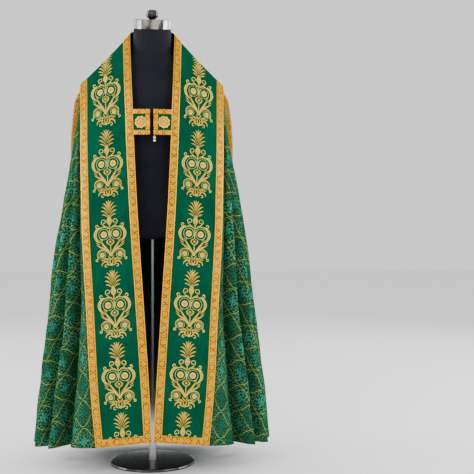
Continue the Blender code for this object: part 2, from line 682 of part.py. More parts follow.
def add_clasp(metal, collection):
    """The clasp: a flat bar behind the left tab's end, with two small balls that hang below it."""
    foot = CLASP_BALL_HEIGHTS[0]
    tab_start, tab_end = tab_point("left", CLASP_BAR_TOP, 0), tab_point("left", CLASP_BAR_TOP, 1)
    share = (CLASP_PLACE + CLASP_BAR_WIDE / 2 - tab_start[0]) / (tab_end[0] - tab_start[0])
    depth = tab_point("left", CLASP_BAR_TOP, share)[1] + CLASP_BAR_THICK / 2 + 2 * SEAM
    mesh = bpy.data.meshes.new("clasp_hook")
    bar = bmesh.new()
    bmesh.ops.create_cube(bar, size=1)
    bmesh.ops.scale(bar, vec=(CLASP_BAR_WIDE, CLASP_BAR_THICK, CLASP_BAR_TOP - foot), verts=bar.verts)
    bmesh.ops.translate(bar, vec=(CLASP_PLACE, depth, (CLASP_BAR_TOP + foot) / 2), verts=bar.verts)
    bar.to_mesh(mesh)
    bar.free()
    made = placed("clasp_hook", mesh, metal, collection)
    for i, height in enumerate(CLASP_BALL_HEIGHTS):
        ball_mesh = bpy.data.meshes.new(f"clasp_ball_{i}")
        ball = bmesh.new()
        bmesh.ops.create_uvsphere(ball, u_segments=14, v_segments=9, radius=CLASP_BALL_RADIUS)
        ball.to_mesh(ball_mesh)
        ball.free()
        helper = bpy.data.objects.new(f"clasp_ball_{i}", ball_mesh)
        helper.location = (CLASP_PLACE, depth, height)
        helper.display_type, helper.hide_render = "WIRE", True
        bpy.data.collections["helpers"].objects.link(helper)
        joined = made.modifiers.new(f"ball_{i}", "BOOLEAN")
        joined.operation, joined.solver, joined.object = "UNION", "EXACT", helper


# ---------------------------------------------------------------- the dress form and its stand


def form_ring(height, half_width, front, back, middle, tilt=0.0):
    points = []
    for i in range(FORM_SIDES):
        angle = 2 * math.pi * i / FORM_SIDES
        c, s = math.cos(angle), math.sin(angle)
        x = half_width * math.copysign(abs(c) ** (2 / FORM_SQUARENESS), c)
        reach = back - middle if s > 0 else middle - front
        y = middle + reach * math.copysign(abs(s) ** (2 / FORM_SQUARENESS), s)
        points.append((x, y, height + math.tan(tilt) * (y - middle)))
    return points


def add_form(jersey, collection):
    """A smooth torso to the neck, lofted through its sections. Its rings lean forward towards the neck's top."""
    mesh = bpy.data.meshes.new("dress_form")
    loft = bmesh.new()
    rings = []
    neck_start = 1.44
    for height, half_width, front, back, middle in FORM_SECTIONS:
        lean = NECK_TILT * min(max((height - neck_start) / (NECK_TOP - neck_start), 0), 1)
        ring = form_ring(height, half_width, front, back, middle, lean)
        rings.append([loft.verts.new(point) for point in ring])
    for lower, upper in zip(rings, rings[1:]):
        for i in range(FORM_SIDES):
            j = (i + 1) % FORM_SIDES
            loft.faces.new((lower[i], lower[j], upper[j], upper[i]))
    loft.faces.new(list(reversed(rings[0])))
    loft.faces.new(rings[-1])
    loft.to_mesh(mesh)
    loft.free()
    mesh.shade_smooth()
    placed("dress_form", mesh, jersey, collection)


def add_neck(chrome, black, collection):
    """The bright cap on the neck and the lobed knob on it, both on the neck's tilted axis."""
    axis = Vector((0, -math.sin(NECK_TILT), math.cos(NECK_TILT)))
    foot = Vector((0, NECK_TOP_DEPTH, NECK_TOP)) + axis * SEAM
    edge = 0.002
    cap = turned(
        "neck_cap",
        (
            (0.0, CAP_HIGH),
            (CAP_RADIUS - edge, CAP_HIGH),
            (CAP_RADIUS, CAP_HIGH - edge),
            (CAP_RADIUS, 0.0),
            (0.0, 0.0),
        ),
        chrome,
        collection,
        sides=40,
    )
    cap.location, cap.rotation_euler = foot, (NECK_TILT, 0, 0)

    mesh = bpy.data.meshes.new("neck_knob")
    knob = bmesh.new()
    around, stacks = 4 * KNOB_LOBES, 9
    rings = []
    for s in range(1, stacks):
        angle = math.pi * s / stacks
        height = KNOB_HIGH * 0.5 * (1 + math.cos(angle))
        ring = []
        for i in range(around):
            turn = 2 * math.pi * i / around
            lobe = 1 + 0.06 * math.cos(KNOB_LOBES * turn)
            radius = KNOB_RADIUS * math.sin(angle) ** 0.8 * lobe * (0.94 if height < 0.2 * KNOB_HIGH else 1.0)
            ring.append(knob.verts.new((radius * math.cos(turn), radius * math.sin(turn), height)))
        rings.append(ring)
    for upper, lower in zip(rings, rings[1:]):
        for i in range(around):
            j = (i + 1) % around
            knob.faces.new((lower[i], lower[j], upper[j], upper[i]))
    knob.faces.new(rings[0])
    knob.faces.new(list(reversed(rings[-1])))
    lowest = min(vertex.co.z for vertex in knob.verts)
    bmesh.ops.translate(knob, vec=(0, 0, -lowest), verts=knob.verts)
    knob.to_mesh(mesh)
    knob.free()
    mesh.shade_smooth()
    made = placed("neck_knob", mesh, black, collection)
    made.location, made.rotation_euler = foot + axis * (CAP_HIGH + SEAM), (NECK_TILT, 0, 0)


def add_stand(metal, black, collection):
    form_foot = FORM_SECTIONS[0][0]
    turned(
        "stand_base",
        (
            (0.0, BASE_HIGH),
            (BASE_RADIUS - 2 * BASE_EDGE, BASE_HIGH),
            (BASE_RADIUS - 0.5 * BASE_EDGE, BASE_HIGH - 0.5 * BASE_EDGE),
            (BASE_RADIUS, BASE_HIGH - 2 * BASE_EDGE),
            (BASE_RADIUS, 0.0),
            (0.0, 0.0),
        ),
        black,
        collection,
        sides=48,
    )
    turned(
        "pole",
        (
            (0.0, form_foot - SEAM),
            (POLE_RADIUS, form_foot - SEAM),
            (POLE_RADIUS, BASE_HIGH + SEAM),
            (0.0, BASE_HIGH + SEAM),
        ),
        metal,
        collection,
        sides=24,
    )


for old in list(bpy.data.objects):
    bpy.data.objects.remove(old)
cope = bpy.data.collections.new("cope_vestment")
helpers = bpy.data.collections.new("helpers")
helpers.hide_render = True
bpy.context.scene.collection.children.link(cope)
bpy.context.scene.collection.children.link(helpers)

brocade = material("green_brocade", (0.016, 0.10, 0.055), 0.5)
plain_green = material("plain_green_cloth", (0.0, 0.107, 0.058), 0.6)
gold_braid = material("gold_braid", (0.80, 0.46, 0.04), 0.45)
fringe_gold = material("gold_fringe", (0.68, 0.30, 0.02), 0.5)
pale_braid = material("pale_gold_braid", (0.85, 0.62, 0.15), 0.45)
gilt = material("gilt_metal", (0.9, 0.75, 0.4), 0.2, 1.0)
navy_jersey = material("navy_jersey", (0.017, 0.018, 0.03), 0.8)
chrome = material("chrome", (0.6, 0.58, 0.56), 0.15, 1.0)
black_plastic = material("black_plastic", (0.01, 0.01, 0.012), 0.25)

add_body(brocade, cope)
add_band(plain_green, gold_braid, cope)
add_hood(plain_green, fringe_gold, pale_braid, cope)
add_morse(plain_green, gold_braid, gilt, cope)
add_form(navy_jersey, cope)
add_neck(chrome, black_plastic, cope)
add_stand(chrome, black_plastic, cope)
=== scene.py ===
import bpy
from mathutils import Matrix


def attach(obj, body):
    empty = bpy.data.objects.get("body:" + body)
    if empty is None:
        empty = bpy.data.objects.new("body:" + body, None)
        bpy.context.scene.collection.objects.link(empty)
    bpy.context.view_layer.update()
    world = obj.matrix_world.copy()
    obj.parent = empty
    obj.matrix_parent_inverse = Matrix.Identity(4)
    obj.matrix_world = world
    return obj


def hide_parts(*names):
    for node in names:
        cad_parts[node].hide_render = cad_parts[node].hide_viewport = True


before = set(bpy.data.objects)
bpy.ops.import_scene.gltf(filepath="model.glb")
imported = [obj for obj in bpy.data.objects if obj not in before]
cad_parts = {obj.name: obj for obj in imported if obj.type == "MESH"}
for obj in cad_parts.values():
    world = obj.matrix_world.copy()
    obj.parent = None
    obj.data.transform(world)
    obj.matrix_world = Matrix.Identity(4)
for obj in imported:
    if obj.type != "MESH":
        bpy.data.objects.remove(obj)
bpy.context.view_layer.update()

import functools
import math

import bmesh
import bpy
import numpy as np
from mathutils import Vector, noise

# ---------------------------------------------------------------- camera
# A camera at chest height, level, three and a half metres from the form. It looks a little to the form's left
# side, which leaves the cope in the left half of the picture.


def in_scene(name, data):
    """Puts an object that shows this data in the scene."""
    made = bpy.data.objects.new(name, data)
    bpy.context.scene.collection.objects.link(made)
    return made


camera_data = bpy.data.cameras.new("camera")
camera_data.sensor_width = 36.0
camera_data.lens = 71.9
camera = in_scene("camera", camera_data)
camera.location = (0.0, -3.4, 0.85)
camera.rotation_euler = (math.radians(89.28), 0.0, math.radians(-5.1))
bpy.context.scene.camera = camera

# ---------------------------------------------------------------- brocade body
# The body of the cope is half a disc of silk brocade with a lining of plain green silk. It is cut in three
# lengths, two at the sides and one behind, sewn to the outer edge of the bands, and hangs in deep folds that
# fan out from the shoulder points. The pattern is an ogee lattice that runs straight down the back.

BROCADE_THICK = 0.002
BAND_WIDE = 0.197
SEAM = 0.0003
DISC_RADIUS = 1.56
SIDES = {"right": -1, "left": 1}
INNER_EDGE = (  # height, distance from the middle, depth
    (0.120, 0.0030, -0.215),
    (0.299, 0.0120, -0.201),
    (0.552, 0.0280, -0.184),
    (0.895, 0.0505, -0.162),
    (1.156, 0.0632, -0.145),
    (1.270, 0.0670, -0.131),
    (1.360, 0.0710, -0.102),
    (1.450, 0.0745, -0.052),
    (1.520, 0.0770, 0.000),
)
OUTER_EDGE = (  # height, distance from the middle, depth
    (0.101, 0.190, -0.200),
    (0.294, 0.209, -0.180),
    (0.548, 0.223, -0.158),
    (0.808, 0.238, -0.134),
    (0.937, 0.2415, -0.121),
    (1.110, 0.2455, -0.101),
    (1.220, 0.2465, -0.074),
    (1.290, 0.2490, -0.038),
    (1.346, 0.2530, 0.000),
)
RINGS = (  # share of the fall, half width, depth of the widest point, depth of the middle of the back
    (0.00, 0.253, 0.000, 0.140),
    (0.07, 0.257, 0.014, 0.152),
    (0.18, 0.278, 0.026, 0.170),
    (0.43, 0.337, 0.034, 0.207),
    (0.70, 0.382, 0.038, 0.247),
    (1.00, 0.428, 0.040, 0.295),
)
FOLDS = {  # where a fold starts, as shares of the fall and of the half ring; its place and depth at the hem
    "right": (
        (0.10, 0.016, 0.150, 0.084),
        (0.15, 0.045, 0.226, 0.088),
        (0.08, 0.150, 0.350, 0.125),
        (0.07, 0.290, 0.490, 0.135),
        (0.12, 0.520, 0.638, 0.122),
        (0.20, 0.730, 0.706, 0.112),
    ),
    "left": (
        (0.10, 0.016, 0.146, 0.080),
        (0.17, 0.050, 0.230, 0.092),
        (0.09, 0.155, 0.343, 0.120),
        (0.11, 0.280, 0.500, 0.130),
        (0.09, 0.530, 0.630, 0.128),
        (0.22, 0.724, 0.708, 0.106),
    ),
}
BACK_PANEL = (0.752, 0.736)
SHOULDER_HEIGHT, BACK_SEAM_HEIGHT = 1.346, 1.376
HEM_FRONT, HEM_SIDE, HEM_BACK = 0.101, 0.069, 0.052
FOLD_STEEPNESS, FOLD_GROWTH, FOLD_AIM = math.radians(84), 0.85, (0.7, 0.3)
FOLD_SPREAD, FIRST_SPREAD = 1.1, 2.2
FIRST_LEAN, LEAST_FOLD = 0.45, 0.04
CROWN_TURN, FRONT_FULLNESS, BACK_SQUARENESS = math.radians(5), 0.60, 3.0
RING_STEPS_FRONT, RING_STEPS_BACK = 60, 90
BROCADE_ROWS, STEPS_IN_FOLD, STEPS_IN_BACK = 84, 10, 14
CREASED_FROM_SIDES, CREASED_FROM_BACK = 0.10, 0.42  # the shares of the fall where drag lines start
OGEE_WIDE, OGEE_HIGH = 0.088, 0.1235
OGEE_SWING = 0.215
BUDS, BUD_PITCH, LEAF_PITCH = 12, 13.0, 14.0
OGEE_MIDDLES = ((0.25, 0.5), (0.75, 1.0))  # of the two rows, in shares of the repeat
WRAP = 1000.5  # whole repeats and a half, so that a middle lies at zero
MOTIF_SQUAT = 0.74
LINE_EDGE, BAR_EDGE = (0.5, 1.1), (1.4, 3.2)  # from the middle of a line and of a bar, in millimetres, as below
CROSS_END, BUDS_START, BUDS_END, OLIVE_START = (16.0, 24.0), (18.0, 21.0), (33.0, 37.0), (32.0, 50.0)
TEAL_SHARE, BUD_SHARE, OLIVE_SHARE, LINE_SHARE = 0.95, 0.75, 0.75, 0.90
GROUND_DULL, THREAD_GLOSS = 0.52, 0.12
DARK_GREENS = ((0.0038, 0.030, 0.013), (0.0095, 0.060, 0.025))
OLIVES = ((0.020, 0.045, 0.005), (0.046, 0.083, 0.009))
TEALS = ((0.012, 0.086, 0.054), (0.032, 0.215, 0.142))
PALE_GREENS = ((0.037, 0.112, 0.055), (0.095, 0.235, 0.128))
LINE_GREEN = (0.20, 0.35, 0.135)
LINING_GREENS = ((0.002, 0.036, 0.020), (0.004, 0.052, 0.030))
# painted shade in the folds: the depths over which it grows, how strong it is at most, and its near-black
# colour
PAINTED_SHADE_FROM, PAINTED_SHADE_TO, PAINTED_SHADE_SHARE = 0.020, 0.064, 0.24
PAINTED_FOLD_SHADE = (0.003, 0.006, 0.002)
DENT_DEEP, SEAM_FADE, TOP_FADE = 0.0045, 0.05, 0.15
DENTS = (  # share of the depth, how many in a metre across and down, where the noise starts
    (1.0, 7, 2.2, 0.3),
    (0.5, 19, 5, 4.0),
)
FULL_TURN = 2 * math.pi


def read(rows, key):
    """The values of a table at this key or at many keys, on a smooth curve through its rows."""
    keys = np.array([row[0] for row in rows])
    values = np.array([row[1:] for row in rows], float)
    key = np.clip(np.asarray(key, float), keys[0], keys[-1])
    last = len(keys) - 1
    after, before = np.minimum(np.arange(last + 1) + 1, last), np.maximum(np.arange(last + 1) - 1, 0)
    slopes = (values[after] - values[before]) / (keys[after] - keys[before])[:, None]
    i = np.clip(np.searchsorted(keys, key, side="right") - 1, 0, last - 1)
    span = (keys[i + 1] - keys[i])[..., None]
    f = (key - keys[i])[..., None] / span
    return (
        (2 * f**3 - 3 * f**2 + 1) * values[i]
        + (f**3 - 2 * f**2 + f) * span * slopes[i]
        + (3 * f**2 - 2 * f**3) * values[i + 1]
        + (f**3 - f**2) * span * slopes[i + 1]
    )


def unit(ways):
    """The directions of these vectors, one unit long."""
    return ways / np.maximum(np.linalg.norm(ways, axis=-1, keepdims=True), 1e-12)


def paired(first, second):
    """Pairs of numbers over a grid, from two arrays that fit one another."""
    return np.stack(np.broadcast_arrays(first, second), axis=-1)


def measured(points):
    """A line with the length up to each of its points."""
    points = np.array(points, float)
    steps = np.linalg.norm(np.diff(points, axis=0), axis=1)
    return np.concatenate([[0.0], np.cumsum(steps)]), points


def along(line, share):
    """The point at this share of a measured line's length."""
    lengths, points = line
    place = np.asarray(share, float) * lengths[-1]
    return np.stack([np.interp(place, lengths, axis) for axis in points.T], axis=-1)


@functools.lru_cache(maxsize=None)
def front_edge(inner):
    """The inner or outer edge of the band in front, from the shoulder fold down to the hem."""
    rows = INNER_EDGE if inner else OUTER_EDGE
    heights = np.linspace(rows[-1][0], rows[0][0], 240)
    return measured(np.column_stack([read(rows, heights), heights]))


def seam_height(share_of_width):
    """The height of the seam of band and body behind, by the share of the half width."""
    return BACK_SEAM_HEIGHT - (BACK_SEAM_HEIGHT - SHOULDER_HEIGHT) * np.abs(share_of_width) ** 2


def hem_height(share_of_width):
    """The height of the hem behind, by the share of the half width."""
    return HEM_BACK + (HEM_SIDE - HEM_BACK) * share_of_width**2


def ring_depth(x, half_width, side_depth, middle_depth):
    """The depth of a ring behind its widest points."""
    share = np.minimum(np.abs(x) / half_width, 1.0) ** BACK_SQUARENESS
    return side_depth + (middle_depth - side_depth) * (1 - share) ** (1 / BACK_SQUARENESS)


@functools.lru_cache(maxsize=None)
def half_ring(fall):
    """The left half of the smooth ring that the folds hang on: from the band round the side to the middle."""
    half_width, side_depth, middle_depth = read(RINGS, fall)
    start = along(front_edge(False), fall)
    side = np.array([half_width, side_depth])
    reach = np.abs(side - start[:2])
    across = start[:2] - read(INNER_EDGE, start[2])
    turn = math.atan2(across[1], across[0]) + CROWN_TURN
    first = start[:2] + FRONT_FULLNESS * reach[0] * np.array([math.cos(turn), math.sin(turn)])
    second = side - np.array([0, FRONT_FULLNESS * reach[1]])
    down = (OUTER_EDGE[-1][0] - start[2]) / (OUTER_EDGE[-1][0] - OUTER_EDGE[0][0])
    f = np.linspace(0, 1, RING_STEPS_FRONT)[:, None]
    front = (1 - f) ** 3 * start[:2] + 3 * (1 - f) ** 2 * f * first + 3 * (1 - f) * f**2 * second + f**3 * side
    hem = HEM_SIDE + (HEM_FRONT - HEM_SIDE) * (1 - f)
    front = np.hstack([front, SHOULDER_HEIGHT + (hem - SHOULDER_HEIGHT) * down])
    share = np.cos(np.linspace(0, math.pi / 2, RING_STEPS_BACK)[1:]) ** (2 / BACK_SQUARENESS)
    share[-1] = 0.0
    x = half_width * share
    height = seam_height(share) + (hem_height(share) - seam_height(share)) * down
    behind = np.column_stack([x, ring_depth(x, half_width, side_depth, middle_depth), height])
    return measured(np.vstack([front, behind]))


@functools.lru_cache(maxsize=None)
def fold_curve(steepness, lean, steps=48):
    """From the floor of a fold up to its ridge: shares of the way across and of the way out. A lean under 1
    brings the steep part close to the floor."""
    angles = steepness * np.sin(math.pi * ((np.arange(steps) + 0.5) / steps) ** lean)
    across = np.concatenate([[0.0], np.cumsum(np.cos(angles))])
    out = np.concatenate([[0.0], np.cumsum(np.sin(angles))])
    return across / across[-1], out / out[-1]


def fold_at(folds, place, fall):
    """The share of the half ring and the depth of a fold. Place counts half folds from the band: floors lie at
    odd numbers and ridges at even ones, and the last stretch is the flat length behind."""
    down = [max((fall - start) / (1 - start), 0.0) for start, _, _, _ in folds]
    spreads = [FIRST_SPREAD] + [FOLD_SPREAD] * (len(folds) - 1)
    floors = [top + (hem - top) * f**spread for f, spread, (_, top, hem, _) in zip(down, spreads, folds)]
    panel = BACK_PANEL[0] + (BACK_PANEL[1] - BACK_PANEL[0]) * fall
    stretch = min(int(place), 2 * len(folds))
    f = place - stretch
    if stretch == 2 * len(folds):
        return panel + (1 - panel) * f, 0.0
    at = stretch // 2
    up = 1 - f if stretch % 2 == 0 else f
    ridges = [0.0] + [(a + b) / 2 for a, b in zip(floors, floors[1:])] + [panel]
    ridge = ridges[at if stretch % 2 == 0 else at + 1]
    depth = folds[at][-1]
    grown = down[at] ** FOLD_GROWTH
    lean = FIRST_LEAN if stretch == 0 else 1.0
    across, out = fold_curve(round(FOLD_STEEPNESS * max(grown, LEAST_FOLD) ** 0.5, 4), lean)
    steps = np.linspace(0, 1, len(across))
    share = floors[at] + (ridge - floors[at]) * np.interp(up, steps, across)
    return share, depth * grown * (1 - np.interp(up, steps, out))


def brocade_row(side, places, fall):
    """One row of points across the brocade's inner face, each with the depth of the fold there."""
    found = [fold_at(FOLDS[side], place, fall) for place in places]
    depth = np.array([pair[1] for pair in found])[:, None]
    points = along(half_ring(fall), np.array([pair[0] for pair in found]))
    _, side_depth, _ = read(RINGS, fall)
    behind = points[:, 1] - side_depth
    target = np.column_stack([FOLD_AIM[0] * points[:, 0], side_depth + FOLD_AIM[1] * behind])
    points[:, :2] += depth * unit(target - points[:, :2])
    return np.hstack([points * (SIDES[side], 1, 1), depth])


def outward(grid):
    """The directions that stand squarely on a grid of points, away from the wearer."""
    down, over = np.gradient(grid, axis=0), np.gradient(grid, axis=1)
    square = unit(np.cross(down, over))
    away = grid * (1, 1, 0) - (0, 0.03, 0)
    return square if (square * away).sum() > 0 else -square


def sewn_in(grid, row=None, column=None, by=SEAM / 2):
    """Pulls one border row or column of a grid towards its neighbour, which leaves the gap of a seam."""
    grid = grid if column is None else np.swapaxes(grid, 0, 1)
    edge = row if column is None else column
    away = grid[1 if edge == 0 else -2] - grid[edge]
    grid[edge] += by * away / np.linalg.norm(away, axis=1, keepdims=True)
    return grid if column is None else np.swapaxes(grid, 0, 1)


def quads(rows, columns, first=0):
    """The faces of a grid of points, which are numbered row by row from the first."""
    numbers = np.arange(rows * columns).reshape(rows, columns) + first
    corners = (numbers[:-1, :-1], numbers[:-1, 1:], numbers[1:, 1:], numbers[1:, :-1])
    return np.stack(corners, axis=-1).reshape(-1, 4)


def mesh_of(name, points, faces, cloth_place):
    """A smooth mesh, with each point's place on the flat cloth as its UV map."""
    mesh = bpy.data.meshes.new(name)
    mesh.from_pydata(points.tolist(), [], faces.tolist())
    flat = mesh.uv_layers.new(name="cloth")
    flat.data.foreach_set("uv", cloth_place[faces.reshape(-1)].astype(np.float32).reshape(-1))
    mesh.shade_smooth()
    mesh.update()
    return mesh


def sheet_mesh(name, grid, cloth_place, fold_depth=None):
    """A smooth sheet through a grid of points."""
    faces = quads(*grid.shape[:2])
    square = np.cross(grid[1, :-1] - grid[0, :-1], grid[0, 1:] - grid[0, :-1])
    if (square * -outward(grid)[0, :-1]).sum() < 0:
        faces = faces[:, ::-1]
    mesh = mesh_of(name, grid.reshape(-1, 3), faces, cloth_place.reshape(-1, 2))
    if fold_depth is not None:
        depths = mesh.attributes.new("fold_depth", "FLOAT", "POINT")
        depths.data.foreach_set("value", fold_depth.astype(np.float32).reshape(-1))
    return mesh


def placed(mesh, finishes, replaced=(), thick=None):
    """Puts a mesh in the scene under its own name, riding on the form, with its finishes and the CAD pieces it
    stands for. A sheet gets its thickness outwards, and a second finish shows on its reverse."""
    made = in_scene(mesh.name, mesh)
    for finish in finishes:
        mesh.materials.append(finish)
    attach(made, "root")
    if replaced:
        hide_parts(*replaced)
    if thick is not None:
        wall = made.modifiers.new("wall", "SOLIDIFY")
        wall.thickness, wall.offset = thick, 1
        wall.use_quality_normals = True
        wall.material_offset = len(finishes) - 1
    return made


def join(tree, value, socket):
    """Gives a socket a plain number or colour, or links it to what works the value out."""
    if isinstance(value, Number):
        tree.links.new(value.socket, socket)
    elif isinstance(value, (int, float)):
        socket.default_value = value
    elif isinstance(value, tuple):
        socket.default_value = (*value, 1)
    else:
        tree.links.new(value, socket)


def worked(how, *values):
    """A number worked out by a maths node from others, one of which at least varies over the surface."""
    tree = next(value.tree for value in values if isinstance(value, Number))
    node = tree.nodes.new("ShaderNodeMath")
    node.operation = how
    for socket, value in zip(node.inputs, values):
        join(tree, value, socket)
    return Number(tree, node.outputs[0])


class Number:
    """A number that varies over a surface, in the node tree of its finish."""

    def __init__(self, tree, socket):
        self.tree, self.socket = tree, socket

    def __add__(self, other):
        return worked("ADD", self, other)

    def __sub__(self, other):
        return worked("SUBTRACT", self, other)

    def __rsub__(self, other):
        return worked("SUBTRACT", other, self)

    def __mul__(self, other):
        return worked("MULTIPLY", self, other)

    def __truediv__(self, other):
        return worked("DIVIDE", self, other)

    def __abs__(self):
        return worked("ABSOLUTE", self)

    def sine(self, times):
        return worked("SINE", self * times)

    def cosine(self, times):
        return worked("COSINE", self * times)

    def from_middle(self, shift=0.0):
        """How far the place is from the middle of its repeat, from -0.5 to 0.5."""
        return worked("FRACT", self + (WRAP + shift)) - 0.5

    def between(self, low, high):
        """A soft step from 0 at the low value to 1 at the high one."""
        node = self.tree.nodes.new("ShaderNodeMapRange")
        node.interpolation_type = "SMOOTHSTEP"
        for name, value in (("Value", self), ("From Min", low), ("From Max", high)):
            join(self.tree, value, node.inputs[name])
        return Number(self.tree, node.outputs[0])

    def fading(self, low, high):
        """A soft step from 1 at the low value to 0 at the high one."""
        return 1.0 - self.between(low, high)


def distance(across, along):
    """How far a place is from the middle."""
    return worked("SQRT", across * across + along * along)


def highest(*numbers):
    """The highest of the numbers at each place."""
    return functools.reduce(lambda first, second: worked("MAXIMUM", first, second), numbers)


class Finish:
    """A finish in the making. Its gleam is the colour that thread gives to the light it reflects."""

    SOCKETS = {"specular": "Specular IOR Level", "gleam": "Specular Tint", "coat": "Coat Weight"}

    def __init__(self, name, **values):
        self.material = bpy.data.materials.new(name)
        self.material.use_nodes = True
        self.tree = self.material.node_tree
        self.shader = self.tree.nodes["Principled BSDF"].inputs
        self.relief = None
        for key, value in values.items():
            join(self.tree, value, self.shader[self.SOCKETS.get(key, key.title())])

    def node(self, kind, **values):
        """A new node, with plain numbers or links in its sockets."""
        made = self.tree.nodes.new(kind)
        for key, value in values.items():
            join(self.tree, value, made.inputs[key])
        return made

    def parts(self, vector):
        """The three numbers of a place."""
        return [Number(self.tree, part) for part in self.node("ShaderNodeSeparateXYZ", Vector=vector).outputs]

    def flat_place(self):
        """The place on the flat cloth: how far along it and how far up it, in metres."""
        flat = self.node("ShaderNodeUVMap")
        flat.uv_map = "cloth"
        return self.parts(flat.outputs[0])[:2]

    def solid_place(self):
        """The place in the solid that the finish covers."""
        return self.node("ShaderNodeTexCoord").outputs["Object"]

    def clouds(self, place, scale, detail=2.0):
        """Soft uneven patches, from 0 to 1."""
        noisy = self.node("ShaderNodeTexNoise", Scale=scale, Detail=detail, Vector=place)
        return Number(self.tree, noisy.outputs[0])

    def drawn_clouds(self, parts, scales, detail=2.0):
        """Patches that are drawn out by a scale of its own for each part of the place."""
        joined = self.node("ShaderNodeCombineXYZ")
        for part, scale, socket in zip(parts, scales, joined.inputs):
            join(self.tree, part * scale, socket)
        return self.clouds(joined.outputs[0], 1.0, detail)

    def chosen(self, share, first, second):
        """The first number turned into the second by a share."""
        node = self.node("ShaderNodeMix")
        for k, value in ((0, share), (2, first), (3, second)):
            join(self.tree, value, node.inputs[k])
        return Number(self.tree, node.outputs[0])

    def dyed(self, share, first, second, how="MIX"):
        """The first colour turned into the second by a share."""
        node = self.node("ShaderNodeMix")
        node.data_type, node.blend_type = "RGBA", how
        for k, value in ((0, share), (6, first), (7, second)):
            join(self.tree, value, node.inputs[k])
        return node.outputs[2]

    def raised(self, height, depth, strength):
        """Raises the surface, on top of what was raised before, by a height from 0 to 1 times the depth."""
        bump = self.node("ShaderNodeBump", Strength=strength, Distance=depth, Height=height)
        if self.relief is not None:
            join(self.tree, self.relief, bump.inputs["Normal"])
        self.relief = bump.outputs[0]
        join(self.tree, self.relief, self.shader["Normal"])

    def coloured(self, colour):
        """The finished material in this colour."""
        join(self.tree, colour, self.shader["Base Color"])
        return self.material


def ogee_motif(over, up):
    """What fills an ogee: the shares of teal thread in its cross, of pale buds round it and of olive ground. It
    is drawn in millimetres from the ogee's middle."""
    a, b = abs(over * (OGEE_WIDE * 1000)), abs(up * (OGEE_HIGH * 1000))
    squat = b * MOTIF_SQUAT
    reach = distance(a, squat)
    bars = worked("MINIMUM", a, squat).fading(*BAR_EDGE)
    squares = a.cosine(FULL_TURN / LEAF_PITCH) * squat.cosine(FULL_TURN / LEAF_PITCH)
    teal = reach.fading(*CROSS_END) * highest(bars * 0.8, squares.between(0.05, 0.40))
    rings = worked("ARCTAN2", squat, a).cosine(BUDS) * reach.cosine(FULL_TURN / BUD_PITCH)
    buds = (reach.between(*BUDS_START) - reach.between(*BUDS_END)) * rings.between(0.05, 0.50)
    return teal, buds, (b + a * 0.60).between(*OLIVE_START)


def weave_brocade():
    """Ogees in two rows half a repeat apart: teal, pale green and olive thread on a dark ground. Painted shade
    darkens the colour towards the floors of the deep folds."""
    finish = Finish("silk brocade", metallic=0.18, specular=0.0, gleam=(0.10, 0.55, 0.35))
    x, y = finish.flat_place()
    u, v = x / OGEE_WIDE, y / OGEE_HIGH
    swing = v.cosine(FULL_TURN) * OGEE_SWING
    slope = v.sine(FULL_TURN) * (OGEE_SWING * FULL_TURN * OGEE_WIDE / OGEE_HIGH)
    lean = worked("SQRT", slope * slope + 1.0)
    lines = [abs((swing * sign + u - centre).from_middle()) * (OGEE_WIDE * 1000) / lean
        for centre, sign in ((0.0, -1.0), (0.5, 1.0))]
    outline = worked("MINIMUM", *lines).fading(*LINE_EDGE)
    places = [(u.from_middle(-over), v.from_middle(-up)) for over, up in OGEE_MIDDLES]
    second = worked("GREATER_THAN", *[abs(over) + abs(up) for over, up in places])
    motifs = [ogee_motif(over, up) for over, up in places]
    teal, buds, olive = (finish.chosen(second, *pair) for pair in zip(*motifs))
    patches = finish.drawn_clouds((x, y), scales=(11.0, 11.0), detail=3.0).between(0.40, 0.62)
    threads = finish.drawn_clouds((x, y), scales=(420.0, 189.0), detail=1.0)
    ground = finish.dyed(threads.between(0.35, 0.65), *DARK_GREENS)
    colour = finish.dyed(olive * OLIVE_SHARE, ground, finish.dyed(threads.between(0.40, 0.60), *OLIVES))
    colour = finish.dyed(teal * TEAL_SHARE, colour, finish.dyed(patches, *TEALS))
    colour = finish.dyed(buds * BUD_SHARE, colour, finish.dyed(patches, *PALE_GREENS))
    colour = finish.dyed(outline * LINE_SHARE, colour, LINE_GREEN)
    # painted shade: the colour turns towards a near-black green where the fold is deep
    depth = finish.node("ShaderNodeAttribute")
    depth.attribute_name = "fold_depth"
    painted_fold_shade = Number(finish.tree, depth.outputs["Fac"]).between(PAINTED_SHADE_FROM, PAINTED_SHADE_TO)
    colour = finish.dyed(painted_fold_shade * PAINTED_SHADE_SHARE, colour, PAINTED_FOLD_SHADE)
    roughness = GROUND_DULL - highest(outline, teal) * THREAD_GLOSS
    join(finish.tree, roughness, finish.shader["Roughness"])
    finish.raised(highest(outline, buds * 0.8, teal * 0.6), depth=0.0005, strength=0.7)
    finish.raised(threads, depth=0.0003, strength=0.5)
    return finish.coloured(colour)


def dye_lining():
    """Plain green silk in a fine twill."""
    finish = Finish("green lining silk", roughness=0.70, specular=0.0, gleam=(0.05, 0.60, 0.40))
    x, y = finish.flat_place()
    finish.raised((x + y).sine(2600.0), depth=0.0002, strength=0.25)
    patches = finish.drawn_clouds((x, y), scales=(8.0, 8.0), detail=3.0)
    return finish.coloured(finish.dyed(patches, *LINING_GREENS))


brocade = weave_brocade()
lining = dye_lining()


def hem_arc(side_lengths, total):
    """The point of the flat half disc's curved edge at this length from the middle of the back."""
    widest = math.pi / 2 - math.asin(BAND_WIDE / DISC_RADIUS)
    turn = side_lengths / total * widest
    return np.stack([DISC_RADIUS * np.sin(turn), DISC_RADIUS * np.cos(turn)], axis=-1)


